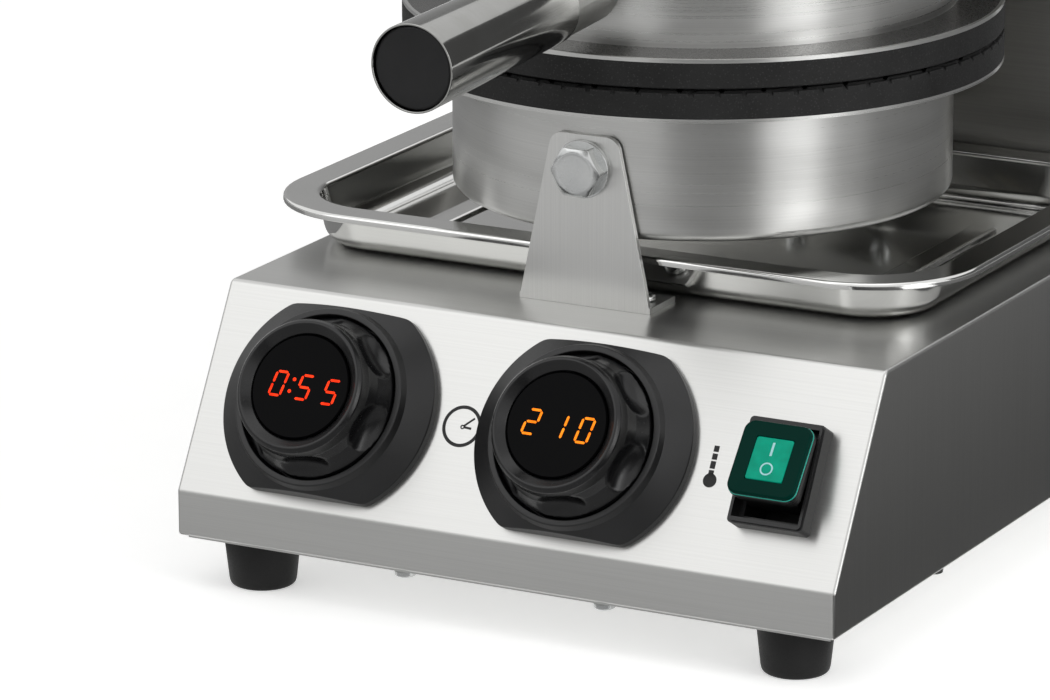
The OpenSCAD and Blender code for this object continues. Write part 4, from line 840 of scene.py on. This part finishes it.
def bezel(name, place, steps=300):
    rings = []
    for k in range(steps):
        angle = math.tau * k / steps
        reach = bezel_reach(angle)
        edge = COLLAR_H - SLOPE * (reach - COLLAR_R)
        line = rounded([(18.3, 0, 0), (18.3, 2, 0), (29, 2, 0.6), (29, 11.3, 0.5), (31.25, 11.3, 0.7),
                        (32.3, 8.6, 0.5), (reach, edge, 0.7), (reach, 0, 0)], 4)
        rings.append([place @ Vector((r * math.cos(angle), r * math.sin(angle), h)) for r, h in line])
    return skin(name, rings)


for control, x in DIAL_X.items():
    mesh = bezel(control + "_bezel_moulded", panel_matrix(x, DIAL_V))
    piece(mesh.name, mesh, "textured_black_polyamide", "base", [control + "_bezel"])
    print(control, "bezel:", len(mesh.polygons), "faces")

# %% [markdown]
# ## Dial rings with finger hollows
# A ring is turned from a closed line and then dented. Each hollow is a barrel that
# lies along the rim: every point that would be inside the barrel moves back to its
# skin. A soft minimum rounds the hollow's edge over about 1 mm.

# %% Dial rings
RING_LINE = [(18.55, 2.3, 0), (28.2, 2.3, 0.3), (28.2, 11.6, 1.0), (27.7, 12.6, 1.0), (25.4, 17.0, 3.0),
             (24.1, 20.8, 3.0), (23.6, 25.2, 1.5), (22.5, 26.6, 0.9), (21.7, 26.6, 0.5), (18.55, 24.0, 0)]
HOLLOWS, FIRST_HOLLOW, SOFT = 6, -20, 0.9
BARREL_X, BARREL_Z, BARREL_ARC, ARC_BACK = 30.2, 17.4, 24.0, 16.6
AROUND = 420


def even(line, pitch):
    """The closed line with points at about equal distances."""
    spaced = []
    for here, then in zip(line, line[1:] + line[:1]):
        count = max(1, round((then - here).length / pitch))
        spaced += [here.lerp(then, k / count) for k in range(count)]
    return spaced


def dented(r, angle, z):
    """A barrel's side is an arc that is set back past its axis, so it is thickest in the middle."""
    for k in range(HOLLOWS):
        turn = angle - math.radians(FIRST_HOLLOW + 360 / HOLLOWS * k)
        x, y = r * math.cos(turn), r * math.sin(turn)
        thick = math.sqrt(max(BARREL_ARC ** 2 - y * y, 0)) - ARC_BACK
        room = thick ** 2 - (z - BARREL_Z) ** 2
        if x < 15 or thick <= 0 or room <= 0:
            continue
        dent = BARREL_X - math.sqrt(room)
        mix = max(SOFT - abs(x - dent), 0) / SOFT
        x = min(x, dent) - mix * mix * SOFT / 4
        r, angle = math.hypot(x, y), angle - turn + math.atan2(y, x)
    return Vector((r * math.cos(angle), r * math.sin(angle), z))


ring_points = even(rounded(RING_LINE, 5), 0.55)
for control, x in DIAL_X.items():
    place = panel_matrix(x, DIAL_V)
    rings = [[place @ dented(r, math.tau * k / AROUND, z) for r, z in ring_points] for k in range(AROUND)]
    mesh = skin(control + "_dial_dented", rings)
    piece(mesh.name, mesh, "smooth_black_polyamide", control + "_dial",
          [control + "_dial_ring"], sharp=75)
    print(control, "dial:", len(mesh.polygons), "faces")

# %% [markdown]
# ## Digits of light
# Each digit is up to seven equal bars that lean like italics. One bar is drawn,
# and the tree repeats it at the lit places: the time glows red and the
# temperature orange. The bars stand 0.05 mm proud of the window's face.

# %% Digits
BARS = {"a": (0, 1, 0), "g": (0, 0, 0), "d": (0, -1, 0), "f": (-1, 0.5, 1), "b": (1, 0.5, 1),
        "e": (-1, -0.5, 1), "c": (1, -0.5, 1)}
LIT = {"0": "abcdef", "1": "bc", "2": "abged", "5": "afgcd"}
DIGIT_LEAN, HALF_W, HALF_H, FACE, GLOW_H = 0.19, 2.17, 4.17, 24.62, 0.05
PANEL_OUT = (panel_at(0, 0, 1000) - panel_at(0, 0, 0)).normalized()
SHOWN = {"timer": ("red_diode_light", [("0", -8.34, 0.06), ("5", 1.67, -0.15), ("5", 11.9, -0.5)]),
         "temperature": ("orange_diode_light", [("2", -9.24, -0.21), ("1", 0.85, -0.45), ("0", 10.7, -0.59)])}


def bar_part(length=3.85, width=0.85):
    tip, side = length / 2, width / 2
    inner = tip - side
    outline = rounded([(-tip, 0, 0.12), (-inner, -side, 0.2), (inner, -side, 0.2), (tip, 0, 0.12),
                       (inner, side, 0.2), (-inner, side, 0.2)], 3, closed=True)
    return flat("bar", outline, Matrix.Identity(4), GLOW_H)


def bar_places(x0, digits):
    """The middle of each lit bar and the way it points; an upright bar leans."""
    places = []
    for digit, x, y in digits:
        for bar in LIT[digit]:
            across, up, stands = BARS[bar]
            bar_x = x0 + x + across * HALF_W + DIGIT_LEAN * up * HALF_H
            bar_v = DIAL_V + (y + up * HALF_H)
            middle = panel_at(bar_x, bar_v, FACE)
            tip = panel_at(bar_x + (DIGIT_LEAN if stands else 1), bar_v + stands, FACE)
            places.append((middle, PANEL_OUT, (tip - middle).normalized()))
    return places


def ringlet(name, inner, outer, place, steps=160, high=0.04):
    """A flat printed or lit ring."""
    return turned(name, [(inner, 0), (outer, 0), (outer, high), (inner, high)], place, steps)


for control, (glow, digits) in SHOWN.items():
    places = bar_places(DIAL_X[control], digits)
    repeat(control + "_digits", bar_part(), places, glow, "base")
    print(control, "bars:", len(places))
dot = ringlet("dot", 0.15, 0.65, Matrix.Identity(4), 32, GLOW_H)
dot_places = [(panel_at(DIAL_X["timer"] + x, DIAL_V + y, FACE), PANEL_OUT, (1, 0, 0))
              for x, y in ((-2.75, 2.17), (-3.64, -2.11))]
repeat("timer_colon", dot, dot_places, "red_diode_light", "base")

# %% [markdown]
# ## Pictograms
# A clock and a thermometer are screen printed in black beside the controls. The
# ink is drawn 0.04 mm high, a little more than a real print.

# %% Clock and thermometer
def stroke(start, end, width, place):
    a, b = Vector(start), Vector(end)
    along = (b - a).normalized() * width / 2
    side = Vector((-along.y, along.x))
    return flat("stroke", [a - side, b - side, b + side, a + side], place)


panel = panel_matrix(0, 0)
bulb = panel_matrix(71.5, 31.3)
inks = [ringlet("ring", 6.1, 7.3, panel_matrix(-23.3, 36.9)),
        ringlet("hub", 0.35, 0.8, panel_matrix(-23.0, 36.7), 48),
        stroke((-22.6, 37.1), (-19.1, 40.2), 0.7, panel),
        stroke((-22.3, 36.7), (-19.6, 36.5), 0.8, panel),
        skin("bulb", [circle(2.45, 0, bulb, 64), circle(2.45, 0.04, bulb, 64)], loop=False)]
for low, high in ((41.1, 43.2), (38.4, 40.5), (35.3, 37.9), (32.5, 34.8)):
    inks.append(stroke((71.35, low), (71.35, high), 1.9, panel))
piece("panel_pictograms", joined("panel_pictograms", inks), "black_screen_print", "base")
print("prints on the panel:", len(inks))

# %% [markdown]
# ## The rocker's green head
# A black boot carries a frame of dark green plastic with a lit window in it. Light
# from the window leaves the plastic at its lowest edge, which shows as a thin teal
# line. All of these are stacks of rounded rectangles about the rocker's own axis.

# %% Rocker head
ROCKER_TILT, WINDOW_H = math.radians(-9.8), 17.0
ROCKER = panel_matrix(97.8, 35.4) @ Matrix.Translation((0, 0, -2)) @ Matrix.Rotation(ROCKER_TILT, 4, "X")
boot = rounded([(0.5, 12.2, 0), (0.1, 13.2, 0.5), (0, 15.4, 0.8), (2.4, 15.4, 0), (2.4, 12.2, 0)], 4)
head = rounded([(0, 15.1, 0), (0, 17.35, 0.9), (5.5, 17.0, 0.3), (5.5, 15.1, 0)], 5)
rim = [(0.2 + 0.3 * math.cos(math.tau * k / 12), 15.5 + 0.3 * math.sin(math.tau * k / 12)) for k in range(12)]
window = rounded([(0, 12, 0), (0, WINDOW_H, 0.4), (0.6, WINDOW_H, 0)], 4)
ROCKER_PARTS = [
    ("rocker_boot", 25.2, 27, 4, boot, True, "textured_black_polyamide", "satin_black", []),
    ("rocker_head", 24.6, 26.4, 3.8, head, True, "dark_green_acrylic", "clear_green", ["switch_cap"]),
    ("rocker_lit_edge", 24.9, 26.7, 4, rim, True, "teal_lit_edge", "clear_green", []),
    ("rocker_window", 13.5, 15.3, 0.9, window, False, "lit_green_key", "key_green", ["switch_key"])]
for name, width, depth, corner, line, loop, finish_name, slot_name, replaced in ROCKER_PARTS:
    mesh = boxed(name, ROCKER, width, depth, corner, line, loop)
    piece(name, mesh, finish_name, "rocker", replaced)
face = ROCKER @ Matrix.Translation((0, 0, WINDOW_H))
marks = [stroke((0, 1.2), (0, 6.0), 0.8, face),
         ringlet("off", 1.75, 2.3, face @ Matrix.Translation((0, -3.5, 0)), 64)]
piece("rocker_marks", joined("rocker_marks", marks), "pale_blue_print", "rocker")
print("rocker pieces:", len(ROCKER_PARTS) + 1)

# %% [markdown]
# ## Edges of the baking plates
# The lower plate's rim is cast with short blocks between narrow notches; they show
# as dark ticks in the seam. One block is repeated round the rim. The upper plate
# has a plain turned edge opposite them, and the lid's flange gets a painted dark
# band, a painted reflection of the shade that it mirrors.

# %% Teeth and turned edge
TEETH = 74
plate_lo, plate_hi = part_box("lower_plate")
over_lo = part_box("upper_plate")[0]
PLATE_R = (plate_hi.x - plate_lo.x) / 2 / MM
middle = (plate_lo + plate_hi) / 2
tooth_line = rounded([(0, -0.6, 0), (0, 1.4, 0.35), (0.5, 1.4, 0)], 3)
tooth = boxed("tooth", Matrix.Identity(4), 2.7, 7.35, 0.4, tooth_line)
tooth_places = []
for k in range(TEETH):
    out = Vector((math.cos(math.tau * k / TEETH), math.sin(math.tau * k / TEETH), 0))
    spot = Vector((middle.x, middle.y, plate_hi.z - 2.0 * MM)) + out * (PLATE_R - 1.4) * MM
    tooth_places.append((spot, (0, 0, 1), out))
repeat("lower_plate_teeth", tooth, tooth_places, "coated_cast_iron", "base")
edge_line = rounded([(PLATE_R - 2.4, 0.6, 0), (PLATE_R, 0.6, 0.5), (PLATE_R, 2.6, 0.3),
                     (PLATE_R - 2.4, 2.6, 0)], 4)
# The thin dark ring on the lid's flange is a painted reflection of shade, not a stain.
band_line = [(89.2, 0), (PLATE_R - 1.3, 0), (PLATE_R - 1.4, 0.1), (89.2, 0.1)]
flange_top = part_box("upper_drum")[0].z + 1.3 * MM
for name, line, z, finish_name, slot_name in (
        ("upper_plate_edge", edge_line, over_lo.z, "coated_cast_iron", "cast_iron"),
        ("lid_flange_band", band_line, flange_top, "blackened_flange_steel", "drum_steel")):
    place = Matrix.Translation((middle.x, middle.y, z)) @ Matrix.Scale(MM, 4)
    piece(name, turned(name, line, place, 240), finish_name, "lid")
print("teeth:", len(tooth_places), "plate radius", round(PLATE_R, 2))

# %% [markdown]
# ## The studio
# The camera, the mirrors and clear plastic should see plain white round the
# machine, but that much light on the object would bleach it. The Light Path node
# tells these rays from the others, so the floor and the world can be white for the
# one kind and plainer for the other. Three soft boxes then shape the machine: a
# broad one from the left, a narrow strip from the right and a weak one above.

# %% Floor and world
def seen_directly(tree):
    """1 for rays from the camera, a mirror or clear plastic, and 0 for the others."""
    ray = add(tree, "ShaderNodeLightPath").outputs
    seen = add(tree, "ShaderNodeMath", {0: ray["Is Camera Ray"], 1: ray["Is Glossy Ray"]}, operation="ADD")
    seen = add(tree, "ShaderNodeMath", {0: seen.outputs[0], 1: ray["Is Transmission Ray"]}, operation="ADD",
               use_clamp=True)
    return seen.outputs[0]


def stage_mesh(name, corners, faces):
    """A floor or card, which isn't part of the machine."""
    mesh = bpy.data.meshes.new(name)
    mesh.from_pydata(corners, [], faces)
    thing = new_object(name, mesh)
    mesh.materials.append(FINISHES[name])
    return thing


FLOOR, WHITE = 6.0, srgb("#ffffff")
tree, place = new_finish("floor")
paper = add(tree, "ShaderNodeTexNoise", {"Vector": place, "Scale": 40.0}).outputs["Fac"]
pale = two_toned(tree, paper, "#efefee", "#f4f4f3", 0, 1)
matt = add(tree, "ShaderNodeBsdfDiffuse", {"Color": pale}).outputs[0]
glow = add(tree, "ShaderNodeEmission", {"Color": WHITE, "Strength": 0.45}).outputs[0]
both = add(tree, "ShaderNodeAddShader", {0: matt, 1: glow}).outputs[0]
mixed = add(tree, "ShaderNodeMixShader", {0: seen_directly(tree), 1: matt, 2: both}).outputs[0]
add(tree, "ShaderNodeOutputMaterial", {"Surface": mixed})
corners = [(-FLOOR, -FLOOR, 0), (FLOOR, -FLOOR, 0), (FLOOR, FLOOR, 0), (-FLOOR, FLOOR, 0)]
stage_mesh("floor", corners, [range(4)])

world = bpy.data.worlds.new("studio")
bpy.context.scene.world = world
world.use_nodes = True
tree = world.node_tree
tree.nodes.clear()
air = add(tree, "ShaderNodeBackground", {"Color": WHITE, "Strength": 0.55}).outputs[0]
white = add(tree, "ShaderNodeBackground", {"Color": WHITE, "Strength": 1.0}).outputs[0]
mixed = add(tree, "ShaderNodeMixShader", {0: seen_directly(tree), 1: air, 2: white}).outputs[0]
add(tree, "ShaderNodeOutputWorld", {"Surface": mixed})
print("floor:", 2 * FLOOR, "m wide")

# %% Soft boxes
CENTRE = at(0, 130, 100)


def softbox(name, azimuth, elevation, distance, width, height, watts):
    """Angles in degrees from the machine's front, sizes in metres."""
    a, e = math.radians(azimuth), math.radians(elevation)
    way = Vector((math.sin(a) * math.cos(e), -math.cos(a) * math.cos(e), math.sin(e)))
    lamp = bpy.data.lights.new(name, "AREA")
    lamp.shape, lamp.size, lamp.size_y, lamp.energy = "RECTANGLE", width, height, watts
    thing = new_object(name, lamp)
    thing.location = CENTRE + way * distance
    thing.rotation_mode = "QUATERNION"
    thing.rotation_quaternion = way.to_track_quat("Z", "Y")
    return thing


softbox("key_softbox", -35, 42, 1.8, 1.3, 1.1, 2.8)
softbox("side_strip", 74, 25, 1.7, 0.25, 1.2, 9).visible_glossy = False
softbox("top_softbox", 10, 80, 1.6, 1.2, 1.2, 2.4)
print("lamps:", len(bpy.data.lights))

# %% [markdown]
# ## Cards for the mirrors
# Bare steel shows only what it mirrors. Grey cards stand and lie round the machine
# as in any picture studio. Only mirror rays see them, so they give the metal
# its darker tones without taking light from the scene or from the shadow.

# %% Grey cards
def card(name, points, faces, near, far, axis="X", start=0, end=1):
    """The card's light runs from `near` to `far` between two places on an axis, in mm."""
    tree, place = new_finish(name)
    tone = near
    if far != near:
        along = add(tree, "ShaderNodeSeparateXYZ", {0: place}).outputs[axis]
        tone = add(tree, "ShaderNodeMapRange", {"Value": along, "From Min": start * MM, "From Max": end * MM,
                                                "To Min": near, "To Max": far}).outputs["Result"]
    light = add(tree, "ShaderNodeEmission", {"Color": WHITE, "Strength": tone}).outputs[0]
    add(tree, "ShaderNodeOutputMaterial", {"Surface": light})
    thing = stage_mesh(name, points, faces)
    thing.visible_camera = thing.visible_diffuse = thing.visible_shadow = thing.visible_transmission = False


def floor_card(name, corners, height, *tones):
    card(name, [at(x, y, height) for x, y in corners], [range(len(corners))], *tones)


def wall_card(name, reach, high, first, last, *tones, steps=48):
    """A curved wall on the floor round the machine, from one azimuth to another."""
    points = []
    for k in range(steps + 1):
        a = math.radians(first + (last - first) * k / steps)
        for z in (0, high):
            points.append(at(reach * math.sin(a), 150 - reach * math.cos(a), z))
    card(name, points, [(2 * k, 2 * k + 1, 2 * k + 3, 2 * k + 2) for k in range(steps)], *tones)


front = [(-1500, -1500), (124, -1500), (124, -6), (-1500, -6)]
beside = [(132, -1500), (1400, -1500), (1400, 1500), (132, 1500)]
floor_card("front_card", front, 2, 0.70, 0.42, "Y", -700, -160)
floor_card("right_card", beside, 1, 0.05, 0.30, "X", 130, 800)
floor_card("left_card", [(-1500, -5), (-132, -5), (-132, 1500), (-1500, 1500)], 2, 0.24, 0.24)
floor_card("bright_floor_card", [(415, -120), (490, 110), (840, -300), (700, -500)], 3, 1.8, 1.8)
wall_card("back_wall_card", 2600, 1600, 105, 240, 0.42, 0.12, "X", -1700, 400)
wall_card("low_front_wall_card", 2600, 480, -120, 56, 0.34, 0.34)
wall_card("wide_strip_card", 1750, 1100, 56, 88, 1.5, 1.5)
wall_card("narrow_strip_card", 1700, 1100, 66, 80, 3.2, 3.2)
print("finishes, floor and cards:", len(FINISHES))
